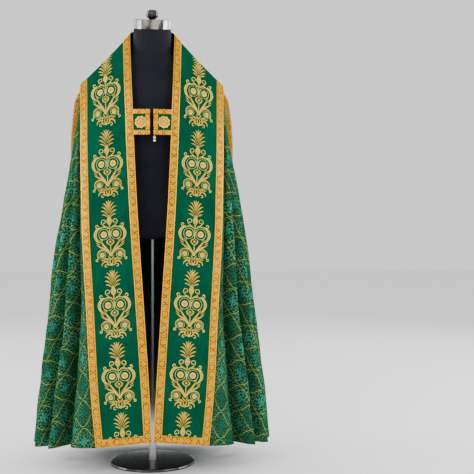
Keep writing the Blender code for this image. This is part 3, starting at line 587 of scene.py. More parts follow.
def flat_cloth(side, grid):
    """The places on the flat half disc of a side's grid. Its columns run from the band to the middle behind."""
    hem_lengths, _ = measured(grid[-1][::-1])
    top_lengths, _ = measured(grid[0][::-1])
    hem = hem_arc(hem_lengths[::-1], hem_lengths[-1])
    top = np.column_stack([top_lengths[::-1], np.full(len(top_lengths), BAND_WIDE)])
    steps = np.linalg.norm(np.diff(grid, axis=0), axis=2)
    down = np.concatenate([np.zeros((1, grid.shape[1])), np.cumsum(steps, axis=0)])
    down = (down / down[-1])[..., None]
    return (top + (hem - top) * down) * (SIDES[side], 1)


def flat_area(places):
    """The area of a grid of places on flat cloth."""
    first, second = places[1:, 1:] - places[:-1, :-1], places[1:, :-1] - places[:-1, 1:]
    return float(np.abs(first[..., 0] * second[..., 1] - first[..., 1] * second[..., 0]).sum() / 2)


def creased(grid, place, start_at):
    """Soft drag lines and dents that heavy silk keeps. They fade out towards every seam."""
    rows, columns = grid.shape[:2]
    down = np.linspace(0, 1, rows)[:, None]
    over = np.linspace(0, 1, columns)[None]
    sides = np.clip(over / SEAM_FADE, 0, 1) * np.clip((1 - over) / SEAM_FADE, 0, 1)
    fade = np.clip((down - start_at) / TOP_FADE, 0, 1) * sides
    dents = np.array([[sum(share * noise.noise(Vector((across * x, along_it * y, start)))
        for share, across, along_it, start in DENTS) for x, y in row] for row in place])
    return grid + (DENT_DEEP * fade * dents)[..., None] * outward(grid)


panel_edge = 2 * len(FOLDS["left"])
side_places = np.linspace(0, panel_edge, panel_edge * STEPS_IN_FOLD + 1)
back_places = np.linspace(panel_edge, panel_edge + 1, STEPS_IN_BACK + 1)
falls = np.linspace(0, 1, BROCADE_ROWS) ** 1.05
body_pieces, back_halves, cloth_sizes = {}, {}, {}


def brocade_piece(name, grid, flat, fold_depth=None):
    """Makes one of the body's lengths, and keeps its size on the flat."""
    mesh = sheet_mesh(f"brocade_{name}", grid, flat, fold_depth)
    body_pieces[name] = placed(mesh, (brocade, lining), (f"body_{name}",), BROCADE_THICK)
    cloth_sizes[name] = flat


for side in SIDES:
    places = np.concatenate([side_places, back_places[1:]])
    whole = np.array([brocade_row(side, places, fall) for fall in falls])
    whole, depths = whole[..., :3], whole[..., 3]
    flat = flat_cloth(side, whole)
    edge = len(side_places)
    back_halves[side] = (whole[:, edge - 1:], flat[:, edge - 1:])
    grid = sewn_in(sewn_in(whole[:, :edge].copy(), row=0, by=2 * SEAM), column=0, by=2 * SEAM)
    grid = creased(sewn_in(grid, column=-1), flat[:, :edge], CREASED_FROM_SIDES)
    brocade_piece(side, grid, flat[:, :edge], depths[:, :edge])
grid, flat = (np.concatenate([right, left[:, -2::-1]], axis=1)
    for right, left in zip(back_halves["right"], back_halves["left"]))
grid = sewn_in(sewn_in(sewn_in(grid, row=0, by=2 * SEAM), column=0), column=-1)
brocade_piece("back", creased(grid, flat, CREASED_FROM_BACK), flat)

# ---------------------------------------------------------------- bands
# The orphreys are two straight bands of plain green silk satin on stiff canvas. Each runs from the hem up one
# front edge, over the shoulder on a slanting fold, and behind the neck to the centre seam.

BAND_THICK, BAND_CROWN = 0.0025, 0.005
NECK_SIDE_HEIGHT, NECK_BACK_HEIGHT, NECK_BACK_DEPTH, NECK_ARCH = 1.520, 1.556, 0.070, 0.6
BRAID_WIDE, HEM_BRAID_HIGH, BACK_BRAID_WIDE = 0.027, 0.0255, 0.0244
CROWN_FADE_FRONT, CROWN_FADE_BACK = 0.1, 0.3
FRONT_STEPS, BACK_STEPS, BAND_COLUMNS = 230, 90, 29
SATIN_GREENS = ((0.0001, 0.051, 0.024), (0.0002, 0.073, 0.036))


def weave_satin():
    """Plain satin: slubs along the thread over broad soft patches."""
    finish = Finish("green silk satin", roughness=0.45, metallic=0.18, specular=0.0, gleam=(0.02, 0.60, 0.40))
    x, y = finish.flat_place()
    slub = finish.drawn_clouds((x, y), scales=(22.5, 180.0))
    mixed = slub * 0.4 + finish.drawn_clouds((x, y), scales=(9.0, 9.0), detail=3.0) * 0.6
    finish.raised(slub, depth=0.0002, strength=0.35)
    finish.raised(y.sine(9000.0), depth=0.00008, strength=0.3)
    return finish.coloured(finish.dyed(mixed.between(0.35, 0.65), *SATIN_GREENS))


satin = weave_satin()


@functools.lru_cache(maxsize=None)
def neck_edge():
    """The band's edge behind the neck, from its side to the middle: a flat arch seen from behind."""
    angle = np.linspace(0, math.pi / 2, 80)
    rise = (NECK_BACK_HEIGHT - NECK_SIDE_HEIGHT) * np.sin(angle) ** NECK_ARCH
    return measured(np.column_stack([
        INNER_EDGE[-1][1] * np.cos(angle), NECK_BACK_DEPTH * np.sin(angle), NECK_SIDE_HEIGHT + rise]))


def band_row(down_front, behind, across):
    """A row of the left band's inner face, from the neck edge to the outer edge."""
    if behind == 0:
        inner, outer = along(front_edge(True), down_front), along(front_edge(False), down_front)
        crown = np.array([0.25, -0.97, 0.0])
        fade = min(down_front / CROWN_FADE_FRONT, 1.0)
    else:
        neck, seam, braid = neck_edge(), half_ring(0.0), BACK_BRAID_WIDE / 2
        from_middle = (1 - behind) * seam[0][-1]
        beyond = max(from_middle - braid, 0) * (neck[0][-1] - braid) / (seam[0][-1] - braid)
        inner = along(neck, 1 - (min(from_middle, braid) + beyond) / neck[0][-1])
        outer = along(seam, behind)
        crown = np.array([0.3 * (1 - behind), 0.9, 0.3])
        fade = min(behind / CROWN_FADE_BACK, 1.0)
    across = across[:, None]
    return inner + (outer - inner) * across + BAND_CROWN * fade * 4 * across * (1 - across) * crown


class Ground:
    """A fine grid of a cloth's face that other pieces are laid on, by their place in rows and columns."""

    def __init__(self, grid):
        self.grid, self.out = grid, outward(grid)

    def laid(self, row, column, lift):
        """Points at these places, lifted off the ground."""
        last_row, last_column = self.grid.shape[0] - 1, self.grid.shape[1] - 1
        row, column = np.clip(row, 0, last_row), np.clip(column, 0, last_column)
        r, c = np.minimum(row.astype(int), last_row - 1), np.minimum(column.astype(int), last_column - 1)
        f, g = (row - r)[..., None], (column - c)[..., None]
        found = []
        for values in (self.grid, self.out):
            top = values[r, c] * (1 - g) + values[r, c + 1] * g
            foot = values[r + 1, c] * (1 - g) + values[r + 1, c + 1] * g
            found.append(top * (1 - f) + foot * f)
        return found[0] + np.asarray(lift, float)[..., None] * found[1]


across = np.linspace(0, 1, BAND_COLUMNS)
half_band = np.array(
    [band_row(1 - i / FRONT_STEPS, 0.0, across) for i in range(FRONT_STEPS + 1)]
    + [band_row(0.0, i / BACK_STEPS, across) for i in range(1, BACK_STEPS + 1)])
front_long = np.array([front_edge(True)[0][-1], front_edge(False)[0][-1]])
back_long = np.array([neck_edge()[0][-1], half_ring(0.0)[0][-1]])
bands = {side: Ground(half_band * (SIDES[side], 1, 1)) for side in SIDES}


def on_band(side, up, over, lift):
    """Points on a band: so far up from the hem and so far over from its neck edge, on the flat."""
    v = np.clip(over / BAND_WIDE, 0, 1)
    front = front_long[0] + (front_long[1] - front_long[0]) * v
    back = back_long[0] + (back_long[1] - back_long[0]) * v
    row = np.where(up <= front, up / front * FRONT_STEPS, FRONT_STEPS + (up - front) / back * BACK_STEPS)
    return bands[side].laid(row, v * (BAND_COLUMNS - 1), lift)


def band_long(over):
    """The band's whole length at this distance from the neck edge."""
    v = over / BAND_WIDE
    return (front_long + back_long)[0] * (1 - v) + (front_long + back_long)[1] * v


for side in SIDES:
    grid = sewn_in(bands[side].grid.copy(), row=-1)
    lengths = np.concatenate([np.linspace(0, 1, FRONT_STEPS + 1) * front_long.mean(),
        front_long.mean() + np.linspace(0, 1, BACK_STEPS + 1)[1:] * back_long.mean()])
    mesh = sheet_mesh(f"band_{side}", grid, paired(lengths[:, None], across * BAND_WIDE))
    placed(mesh, (satin, lining), (f"orphrey_{side}",), BAND_THICK)

# ---------------------------------------------------------------- woven gold braid
# Galloon is a narrow braid woven with gold thread on both long edges of each band, across its foot and down
# the centre seam behind. It carries a row of small round flowers between leaves and is stitched down along its
# edges.

BRAID_THICK = 0.0012
ON_BAND = BAND_THICK + SEAM
FLOWER_PITCH, BRAID_PETALS, PETAL_NOTCH = 0.024, 6, 0.9
EYE_EDGE, PETAL_START, PETAL_END = (0.8, 1.6), (2.4, 3.4), (6.6, 7.8)  # millimetres from a flower's middle
LEAF_OUT, BORDER_START = 6.0, (10.4, 11.1)  # millimetres from the middle of the braid
LEAF_EDGE, LEAF_OVAL = (1.7, 2.5), 0.45  # millimetres from a leaf's middle, and how far it is drawn out
SHADED, TURNS_YELLOW = 0.80, 0.03
YELLOW_GOLD, DULL_GOLD = (0.84, 0.57, 0.005), (0.60, 0.33, 0.003)
RED_GOLD, COPPER = (0.84, 0.46, 0.008), (0.36, 0.085, 0.001)
YELLOW_FROM = {"inner": 1.455, "outer": 1.275}  # how far up each edge of a band the yellower gold starts
BACK_BRAID_EDGE = 0.0013
STEPS_UP_FRONT, STEPS_OVER_SHOULDER, STEPS_ACROSS, STEPS_BETWEEN = 190, 60, 7, 22


def weave_galloon(name, light, deep, pitch, over_shoulder=None):
    """Round flowers between pairs of leaves, drawn in millimetres. Light is the raised gold thread, deep the
    copper ground behind it. Past the length over_shoulder the braid lies behind the neck, where the gold shows
    yellower."""
    finish = Finish(name, roughness=0.48, metallic=0.9, specular=0.25, gleam=(1.0, 0.75, 0.35))
    x, y = finish.flat_place()
    a, b = (x / pitch).from_middle() * (pitch * 1000), (y - BRAID_WIDE / 2) * 1000.0
    reach = distance(a, b)
    from_rim = reach - worked("ARCTAN2", b, a).cosine(BRAID_PETALS) * PETAL_NOTCH
    petals = from_rim.between(*PETAL_START) * from_rim.fading(*PETAL_END)
    half_way, out = abs(a) - pitch * 500, abs(b) - LEAF_OUT
    leaf = worked("SQRT", half_way * half_way + out * out * LEAF_OVAL).fading(*LEAF_EDGE)
    raised_gold = highest(petals, reach.fading(*EYE_EDGE), leaf, abs(b).between(*BORDER_START))
    threads = finish.drawn_clouds((x, y), scales=(700.0, 350.0), detail=1.0)
    patches = finish.drawn_clouds((x, y), scales=(60.0, 60.0))
    gold = finish.dyed(threads.between(0.38, 0.62), tuple(SHADED * c for c in light), light)
    halfway = tuple(0.5 * (c + d) for c, d in zip(light, deep))
    colour = finish.dyed(raised_gold, finish.dyed(patches.between(0.40, 0.65), deep, halfway), gold)
    if over_shoulder:
        behind = x.between(over_shoulder, over_shoulder + TURNS_YELLOW)
        colour = finish.dyed(behind, colour, finish.dyed(raised_gold, DULL_GOLD, YELLOW_GOLD))
    finish.raised(raised_gold, depth=0.0006, strength=0.8)
    finish.raised(threads, depth=0.0003, strength=0.6)
    return finish.coloured(colour)


front_galloon = weave_galloon("front galloon", RED_GOLD, COPPER, FLOWER_PITCH)
edge_galloons = {edge: weave_galloon(f"{edge} galloon", RED_GOLD, COPPER, FLOWER_PITCH, length)
    for edge, length in YELLOW_FROM.items()}
back_galloon = weave_galloon("back galloon", YELLOW_GOLD, DULL_GOLD, 0.5 * FLOWER_PITCH)


def braid_strip(edge, side, ups, overs, turned, finish):
    """A strip of braid laid on a band. Turned says that its length runs across the band."""
    up, over = np.meshgrid(ups, overs, indexing="ij")
    up = np.minimum(up, band_long(over) - SEAM / 2)
    grid = on_band(side, up, over, ON_BAND)
    place = paired(over, up - ups[0]) if turned else paired(up, over - overs[0])
    mesh = sheet_mesh(f"braid_{edge}_{side}", grid, place)
    braids[side].append(placed(mesh, (finish,), (f"galloon_{edge}_{side}",), BRAID_THICK))


braids = {side: [] for side in SIDES}
gap = 2 * SEAM
between_braids = np.linspace(BRAID_WIDE + gap, BAND_WIDE - BRAID_WIDE - gap, STEPS_BETWEEN)
for side in SIDES:
    for edge, first, long in (("inner", 0.0, front_long[0]), ("outer", BAND_WIDE - BRAID_WIDE, front_long[1])):
        overs = np.linspace(first, first + BRAID_WIDE, STEPS_ACROSS)
        behind = np.linspace(long, band_long(overs).max(), STEPS_OVER_SHOULDER)
        ups = np.concatenate([np.linspace(0, long, STEPS_UP_FRONT), behind[1:]])
        braid_strip(edge, side, ups, overs, False, edge_galloons[edge])
    braid_strip("hem", side, np.linspace(0, HEM_BRAID_HIGH, STEPS_ACROSS), between_braids, True, front_galloon)
back = np.linspace(0, BACK_BRAID_WIDE / 2, 4)
halves = []
for side in SIDES:
    from_middle, over = np.meshgrid(back if side == "left" else back[:0:-1], between_braids, indexing="ij")
    rows = FRONT_STEPS + BACK_STEPS * (1 - from_middle / back_long[1])
    halves.append(bands[side].laid(rows, over / BAND_WIDE * (BAND_COLUMNS - 1), ON_BAND))
grid = np.concatenate(halves)
wide = np.linspace(BACK_BRAID_EDGE, BRAID_WIDE - BACK_BRAID_EDGE, len(grid))
mesh = sheet_mesh("braid_centre_back", grid, paired(between_braids, wide[:, None]))
centre_braid = placed(mesh, (back_galloon,), ("galloon_center_back",), BRAID_THICK)

# ---------------------------------------------------------------- stitched scrollwork
# Six upright motifs climb each front band and one lies each side of the centre seam behind. They are machine
# satin stitch over padding: pale gold thread for the lines, and gold shading to apricot in the leaves. A motif
# is a palmette on a vase, over a heart of two scrolls, over two smaller scrolls on a leafy foot.

MOTIF_LONG = 0.233
MOTIF_TIPS = (0.1117, 0.3487, 0.5922, 0.8292, 1.0735, 1.352)
MOTIF_SHARE = 0.98
LEAF_HIGH, LINE_HIGH, BERRY_HIGH = 0.0011, 0.0008, 0.0016
STITCH, UNDER_STITCHES, LEAF_TIP = 0.0011, 0.00015, 0.08
LEAF_SHARES, LINE_SHARES = np.array([-1.0, -0.6, 0.0, 0.6, 1.0]), np.array([-1.0, -0.5, 0.5, 1.0])
MARKS = {"line": 2.0, "ring": 3.0, "berry": 4.0}  # how the threads of a finish tell the kinds of stroke apart
BERRY_PETALS, BEHIND_SEAM = 8, 0.004
PALM_LEAVES = (  # how far out and up a leaf's tip stands and how high its foot, in shares of the palmette
    (0.37, 0.95, 0.42),
    (0.72, 0.84, 0.30),
    (0.94, 0.66, 0.19),
    (1.00, 0.45, 0.09),
    (0.86, 0.25, 0.01),
)
FEWER_LEAVES = (
    (0.50, 0.92, 0.40),
    (0.88, 0.74, 0.24),
    (1.00, 0.48, 0.10),
    (0.84, 0.22, 0.00),
)


def smooth_line(points, count):
    """A smooth line through a few points, given as complex numbers (over + up j)."""
    points = np.array(points)
    keys = np.concatenate([[0], np.cumsum(np.abs(np.diff(points)))])
    table = [(key, p.real, p.imag) for key, p in zip(keys, points)]
    found = read(table, np.linspace(0, keys[-1], count))
    return found[:, 0] + 1j * found[:, 1]


def scroll(middle, first_radius, last_radius, start, turns, count):
    """A line that winds inwards round a middle. Start is in degrees and turns may run either way."""
    f = np.linspace(0, 1, count)
    angle = math.radians(start) + FULL_TURN * turns * f
    return middle + (first_radius + (last_radius - first_radius) * f) * np.exp(1j * angle)


def leaf(points, wide, count=16):
    """A leaf: swelling from a narrow foot and running out to a point."""
    f = np.linspace(0, 1, count)
    swell = np.sin(math.pi * np.clip(0.12 + 0.88 * f, 0, 1)) ** 0.75
    return "leaf", smooth_line(points, count), wide * np.maximum(swell, LEAF_TIP)


def thread(line, wide, kind="line"):
    """A couched line of pale thread, or of the greener thread of the rings, with rounded ends."""
    f = np.linspace(0, 1, len(line))
    return kind, line, wide * np.clip(np.minimum(f, 1 - f) * 14, 0.25, 1) ** 0.5


def berry(middle, radius):
    """A round cushion of stitches."""
    return "berry", np.array([middle]), np.array([radius])


def both(strokes):
    """The strokes and their mirror images."""
    return strokes + [(kind, -np.conj(line), wide) for kind, line, wide in strokes]


def palmette(foot, length, spread, wide, leaves, stem=1.0):
    """Narrow leaves that part from a stem one above another and bend outwards, round an upright one."""
    f = np.linspace(0, 1, 14)
    widest = 0.72
    towards_tip = 1 - ((f - widest) / 0.30) ** 2
    swell = np.where(f < widest, 0.20 + 0.80 * np.sin(math.pi / 2 * f / widest) ** 4, towards_tip)
    swell = wide * np.maximum(swell, 0.16)
    made = []
    for over, up, foot_up in leaves:
        start = stem * foot_up
        bends = [(share * over, start + rise * (up - start)) for share, rise in ((0.36, 0.66), (0.74, 0.97))]
        parts = [(0.04, start), *bends, (over, up)]
        line = smooth_line([foot + spread * across + 1j * length * height for across, height in parts], 14)
        made.append(("leaf", line, swell))
    bottom = 0.35 * stem
    return both(made) + [("leaf", foot + 1j * length * (bottom + (1 - bottom) * f), swell)]


def scroll_motif(spread, wide, leaves):
    """The whole motif, one unit high, growing upwards from the middle of its foot at 0."""
    strokes = palmette(0.718j, 0.282, spread, wide, leaves)
    f = np.linspace(0, 1, 20)
    strokes.append(("leaf", 1j * (0.770 - 0.190 * f), 0.014 + 0.046 * np.exp(-((f - 0.34) / 0.22) ** 2)))
    side = [
        leaf([0.012 + 0.640j, 0.032 + 0.680j, 0.036 + 0.722j], 0.012),
        thread(np.concatenate([smooth_line([0.066 + 0.598j, 0.080 + 0.626j, 0.106 + 0.652j], 8)[:-1],
            scroll(0.083 + 0.684j, 0.040, 0.016, -52, 1.05, 26)]), 0.0090),
        leaf([0.012 + 0.575j, 0.055 + 0.606j, 0.105 + 0.604j, 0.150 + 0.580j], 0.019),
        leaf([0.140 + 0.605j, 0.192 + 0.572j, 0.222 + 0.505j, 0.206 + 0.435j, 0.148 + 0.378j], 0.040, 22),
        thread(scroll(0.186 + 0.628j, 0.028, 0.010, -120, 0.95, 20), 0.0100),
        leaf([0.150 + 0.440j, 0.128 + 0.430j, 0.118 + 0.400j], 0.014, 10),
        thread(np.concatenate([smooth_line([0.006 + 0.465j, 0.010 + 0.515j, 0.026 + 0.552j], 7)[:-1],
            scroll(0.090 + 0.498j, 0.080, 0.071, 136, -1.02, 42)]), 0.0072, "ring"),
        berry(0.090 + 0.498j, 0.045),
        leaf([0.000 + 0.335j, 0.034 + 0.358j, 0.050 + 0.388j, 0.028 + 0.414j, 0.000 + 0.430j], 0.017, 14),
        leaf([0.004 + 0.200j, 0.042 + 0.262j, 0.092 + 0.328j, 0.136 + 0.392j, 0.160 + 0.428j], 0.024, 20),
        leaf([0.034 + 0.232j, 0.090 + 0.285j, 0.150 + 0.318j, 0.210 + 0.356j], 0.021, 16),
        leaf([0.160 + 0.352j, 0.190 + 0.372j, 0.212 + 0.398j], 0.013, 10),
        leaf([0.020 + 0.206j, 0.078 + 0.262j, 0.146 + 0.272j, 0.200 + 0.232j, 0.204 + 0.168j], 0.017, 22),
        thread(scroll(0.132 + 0.198j, 0.056, 0.051, 112, 1.02, 36), 0.0068, "ring"),
        berry(0.132 + 0.198j, 0.035),
        leaf([0.204 + 0.200j, 0.196 + 0.160j, 0.206 + 0.122j], 0.016, 12),
        thread(scroll(0.214 + 0.132j, 0.020, 0.008, 214, 0.90, 16), 0.0100),
        leaf([0.030 + 0.122j, 0.072 + 0.140j, 0.118 + 0.122j, 0.160 + 0.130j], 0.018),
        leaf([0.044 + 0.094j, 0.092 + 0.102j, 0.134 + 0.078j, 0.146 + 0.036j], 0.020),
        thread(scroll(0.082 + 0.036j, 0.024, 0.010, 120, -0.80, 16), 0.0090),
        leaf([0.010 + 0.046j, 0.050 + 0.056j, 0.062 + 0.092j, 0.046 + 0.142j], 0.019, 14),
        leaf([0.004 + 0.058j, 0.022 + 0.086j, 0.013 + 0.128j], 0.015, 12),
        leaf([0.000 + 0.124j, 0.024 + 0.150j, 0.040 + 0.182j], 0.015),
    ]
    strokes += both(side)
    strokes += [
        thread(np.linspace(0.580j, 0.425j, 8), 0.0085),
        thread(np.linspace(0.340j, 0.225j, 8), 0.0085),
        berry(0.384j, 0.017),
        berry(0.500j, 0.015),
        berry(0.200j, 0.026),
        berry(0.052j, 0.020),
    ]
    return strokes


def twist_thread(name, line, ring, leaf_edge, leaf_heart, rose):
    """Satin stitch, with painted shade in the grooves between the stitches. The mark runs from -1 to 1 across a
    leaf and from 4 to 5 outwards on a berry. It is 2 on a line and 3 on a ring."""
    finish = Finish(name, roughness=0.45, metallic=0.35, specular=0.25, gleam=(1.0, 0.85, 0.50))
    x, mark = finish.flat_place()
    stitches = x.sine(FULL_TURN / STITCH)
    uneven = finish.drawn_clouds((x, x), scales=(160.0, 160.0)).between(0.30, 0.55)
    colour = finish.dyed(abs(mark).fading(0.15, 0.80) * uneven, leaf_edge, leaf_heart)
    colour = finish.dyed(mark.between(1.5, 1.6), colour, line)
    colour = finish.dyed(mark.between(2.5, 2.6), colour, ring)
    petals = finish.dyed(mark.between(4.30, 4.80), rose, leaf_edge)
    colour = finish.dyed(mark.between(3.5, 3.6), colour, petals)
    finish.raised(stitches, depth=0.00025, strength=0.7)
    # painted shade: the colour is multiplied down to 0.8 in the grooves between the stitches
    return finish.coloured(finish.dyed(1.0, colour, stitches * 0.10 + 0.90, "MULTIPLY"))


gold_thread = twist_thread("gold embroidery thread", line=(0.90, 0.74, 0.140), ring=(0.48, 0.66, 0.190),
    leaf_edge=(0.94, 0.68, 0.070), leaf_heart=(0.62, 0.25, 0.005), rose=(0.78, 0.32, 0.020))


class Needlework:
    """Gathers raised strokes laid on a cloth, and makes one mesh of them."""

    def __init__(self):
        self.points, self.faces, self.places, self.count = [], [], [], 0

    def add(self, grid, places):
        """Takes up a grid of points."""
        rows, columns = grid.shape[:2]
        self.points.append(grid.reshape(-1, 3))
        self.places.append(places.reshape(-1, 2))
        self.faces.append(quads(rows, columns, self.count))
        self.count += rows * columns

    def work(self, strokes, lay, size):
        """Lays strokes in units of size by lay(over, up, lift)."""
        for kind, line, wide in strokes:
            if kind == "berry":
                turn, reach = np.linspace(0, FULL_TURN, 17), np.linspace(0, 1, 6)[:, None]
                flat = line[0] + wide[0] * reach * np.exp(1j * turn)
                petals = 1 - 0.25 * np.cos(BERRY_PETALS * turn) * reach
                lift = BERRY_HIGH * (1 - reach**2.5) * petals
                places = paired(turn * wide[0] * size, MARKS["berry"] + reach)
            else:
                ahead = np.gradient(line)
                square = 1j * ahead / np.maximum(np.abs(ahead), 1e-9)
                shares, high = (LEAF_SHARES, LEAF_HIGH) if kind == "leaf" else (LINE_SHARES, LINE_HIGH)
                flat = line[:, None] + 0.5 * square[:, None] * wide[:, None] * shares
                lift = high * (1 - shares**2) * np.clip(wide / wide.max(), 0.4, 1)[:, None]
                length = np.concatenate([[0], np.cumsum(np.abs(np.diff(line)))]) * size
                places = paired(length[:, None], shares if kind == "leaf" else MARKS[kind])
                places = np.broadcast_to(places, (*flat.shape, 2))
            self.add(lay(flat.real * size, flat.imag * size, lift + UNDER_STITCHES), places)

    def finished(self, name):
        """One mesh of everything taken up."""
        return mesh_of(name, *(np.concatenate(rows) for rows in (self.points, self.faces, self.places)))


def facing(mesh, towards):
    """Turns the mesh's faces over where they look away from the given side."""
    sheet = bmesh.new()
    sheet.from_mesh(mesh)
    sheet.normal_update()
    turned = [face for face in sheet.faces if face.normal.dot(towards(face)) < 0]
    bmesh.ops.reverse_faces(sheet, faces=turned)
    sheet.to_mesh(mesh)
    sheet.free()
    return mesh


def away_from_wearer(face):
    """The way that a face of a band's needlework looks."""
    return face.calc_center_median() * Vector((1, 1, 0.4))


def backwards(_):
    """The way that a face on the hood looks."""
    return Vector((0, 1, 0))


def forwards(_):
    """The way that a face on the chest looks."""
    return Vector((0, -1, 0))


motif = scroll_motif(0.122, 0.0170, PALM_LEAVES)
middle_of_band = BAND_WIDE / 2
for side in SIDES:
    work = Needlework()
    for below, tip in zip((MOTIF_TIPS[0] - MOTIF_LONG, *MOTIF_TIPS), MOTIF_TIPS):
        long = MOTIF_SHARE * (tip - below)
        strokes = motif
        if tip == MOTIF_TIPS[0]:
            lowest = (HEM_BRAID_HIGH + long - tip) / long
            strokes = [stroke for stroke in motif if stroke[1].imag.max() > lowest + 0.02]

        def lay(over, up, lift, tip=tip, long=long):
            height = np.maximum(tip - long + up * long / MOTIF_LONG, HEM_BRAID_HIGH)
            return on_band(side, height, over + middle_of_band, lift + BAND_THICK)

        work.work(strokes, lay, MOTIF_LONG)

    def lay_behind(over, up, lift):
        place = over + middle_of_band
        height = band_long(place) - BACK_BRAID_WIDE / 2 - BEHIND_SEAM - up
        return on_band(side, height, place, lift + BAND_THICK)

    work.work(motif, lay_behind, MOTIF_LONG)
    mesh = facing(work.finished(f"scrollwork_{side}"), away_from_wearer)
    braids[side].append(placed(mesh, (gold_thread,)))

# ---------------------------------------------------------------- hood
# The hood is a flat shield of the same stiffened satin that hangs from the band behind. A cross of four motifs
# with a palmette between each two is stitched on it round a ring of leaves, with a plain cross in the ring.

HOOD_THICK, HOOD_LIFT = 0.002, 0.0027
HOOD_HALF_WIDE, HOOD_TOP_HALF_WIDE = 0.2715, 0.2455
HOOD_WIDEST, HOOD_FOOT, HOOD_CORNER = 1.100, 0.8955, 2.5
HOOD_SPREAD = (  # height, how much wider the stiff hood stands than the body under it
    (0.880, 0.010),
    (1.100, 0.018),
    (1.250, 0.028),
    (1.310, 0.016),
    (1.376, 0.004),
)
CROSS_HEIGHT, CROSS_REACH, RING_RADIUS, ARM_LONG = 1.1285, 0.2315, 0.062, 0.158
SPRAY_LONG, SPRAY_GAP, CURL_GAP, RING_LEAVES = 0.074, 0.009, 0.007, 30
RING_LEAF_LONG, RING_LEAF_WIDE, RING_LEAF_TURN, RING_LEAF_BOW = 0.0120, 0.0034, 0.5, 0.0006
HOOD_ROWS, HOOD_COLUMNS, HOOD_SIDE_SHARE = 48, 64, 0.335


def fall_at(down):
    """The share of the fall whose ring lies this far down."""
    lengths, points = front_edge(False)
    start, end = OUTER_EDGE[-1][0], OUTER_EDGE[0][0]
    return np.interp(down, (start - points[:, 2]) / (start - end), lengths / lengths[-1])


def back_surface(x, height, wider):
    """Points of the smooth back at these distances from the middle and these heights."""
    fall = np.full(x.shape, 0.5)
    for _ in range(12):
        half_width, side_depth, middle_depth = np.moveaxis(read(RINGS, fall), -1, 0)
        share = np.minimum(np.abs(x) / half_width, 1.0)
        top = seam_height(share)
        fall = fall_at((top - height) / (top - hem_height(share)))
    return ring_depth(x, half_width + wider, side_depth, middle_depth)


def hood_slopes(x, height, step=0.004):
    """The hood's depth at each place, and how it changes sideways and upwards."""
    wider = read(HOOD_SPREAD, height)[..., 0]
    here = back_surface(x, height, wider)
    sideways = back_surface(x + step, height, wider) - back_surface(x - step, height, wider)
    above, below = read(HOOD_SPREAD, height + step)[..., 0], read(HOOD_SPREAD, height - step)[..., 0]
    upwards = back_surface(x, height + step, above) - back_surface(x, height - step, below)
    return here, sideways / (2 * step), upwards / (2 * step)


def on_hood(x, height, lift):
    """Points on the hood's inner face, lifted off it."""
    here, sideways, upwards = hood_slopes(x, height)
    out = unit(np.stack([-sideways, np.ones_like(here), -upwards], axis=-1))
    lift = HOOD_LIFT + np.asarray(lift, float)
    return np.stack([x, here, height], axis=-1) + lift[..., None] * out


def hood_outline(steps=720):
    """The hood's outline as seen from behind, from its right upper corner round to the left one."""
    corner = seam_height(HOOD_TOP_HALF_WIDE / RINGS[0][1]) - 2 * SEAM
    heights = np.linspace(corner, HOOD_WIDEST, steps // 4)
    up = (heights - HOOD_WIDEST) / (SHOULDER_HEIGHT - HOOD_WIDEST)
    angle = np.linspace(0, math.pi / 2, steps // 4)[1:]
    x = np.concatenate([HOOD_HALF_WIDE - (HOOD_HALF_WIDE - HOOD_TOP_HALF_WIDE) * up**2,
        HOOD_HALF_WIDE * np.abs(np.cos(angle)) ** (2 / HOOD_CORNER)])
    z = np.concatenate([heights, HOOD_WIDEST - (HOOD_WIDEST - HOOD_FOOT) * np.sin(angle) ** (2 / HOOD_CORNER)])
    x[-1] = 0.0
    return measured(np.column_stack([np.concatenate([-x, x[-2::-1]]), np.concatenate([z, z[-2::-1]])]))


outline = hood_outline()
down, over = np.linspace(0, 1, HOOD_ROWS + 1), np.linspace(0, 1, HOOD_COLUMNS + 1)
right = along(outline, HOOD_SIDE_SHARE * down)
foot = along(outline, HOOD_SIDE_SHARE + (1 - 2 * HOOD_SIDE_SHARE) * over)
left = right * (-1, 1)
top_x = HOOD_TOP_HALF_WIDE * np.linspace(-1, 1, HOOD_COLUMNS + 1)
top = np.column_stack([top_x, seam_height(top_x / RINGS[0][1]) - 2 * SEAM])
top[0], top[-1] = right[0], left[0]
down, over = down[:, None, None], over[None, :, None]
flat = (1 - down) * top[None] + down * foot[None] + (1 - over) * right[:, None] + over * left[:, None]
flat -= (1 - down) * ((1 - over) * top[0] + over * top[-1]) + down * ((1 - over) * foot[0] + over * foot[-1])
grid = on_hood(flat[..., 0], flat[..., 1], 0.0)
mesh = sheet_mesh("hood_shield", grid, flat)
hood_piece = placed(mesh, (satin, lining), ("hood",), HOOD_THICK)
hood_area = flat_area(flat)

work = Needlework()


def arm(turn, start):
    """Lays a motif on the hood that points outwards from the cross's middle and starts this far from it."""
    way = np.exp(1j * math.radians(turn - 90))

    def lay(over, up, lift):
        place = (over + 1j * (up + start)) * way
        return on_hood(place.real, place.imag + CROSS_HEIGHT, lift + HOOD_THICK)

    return lay


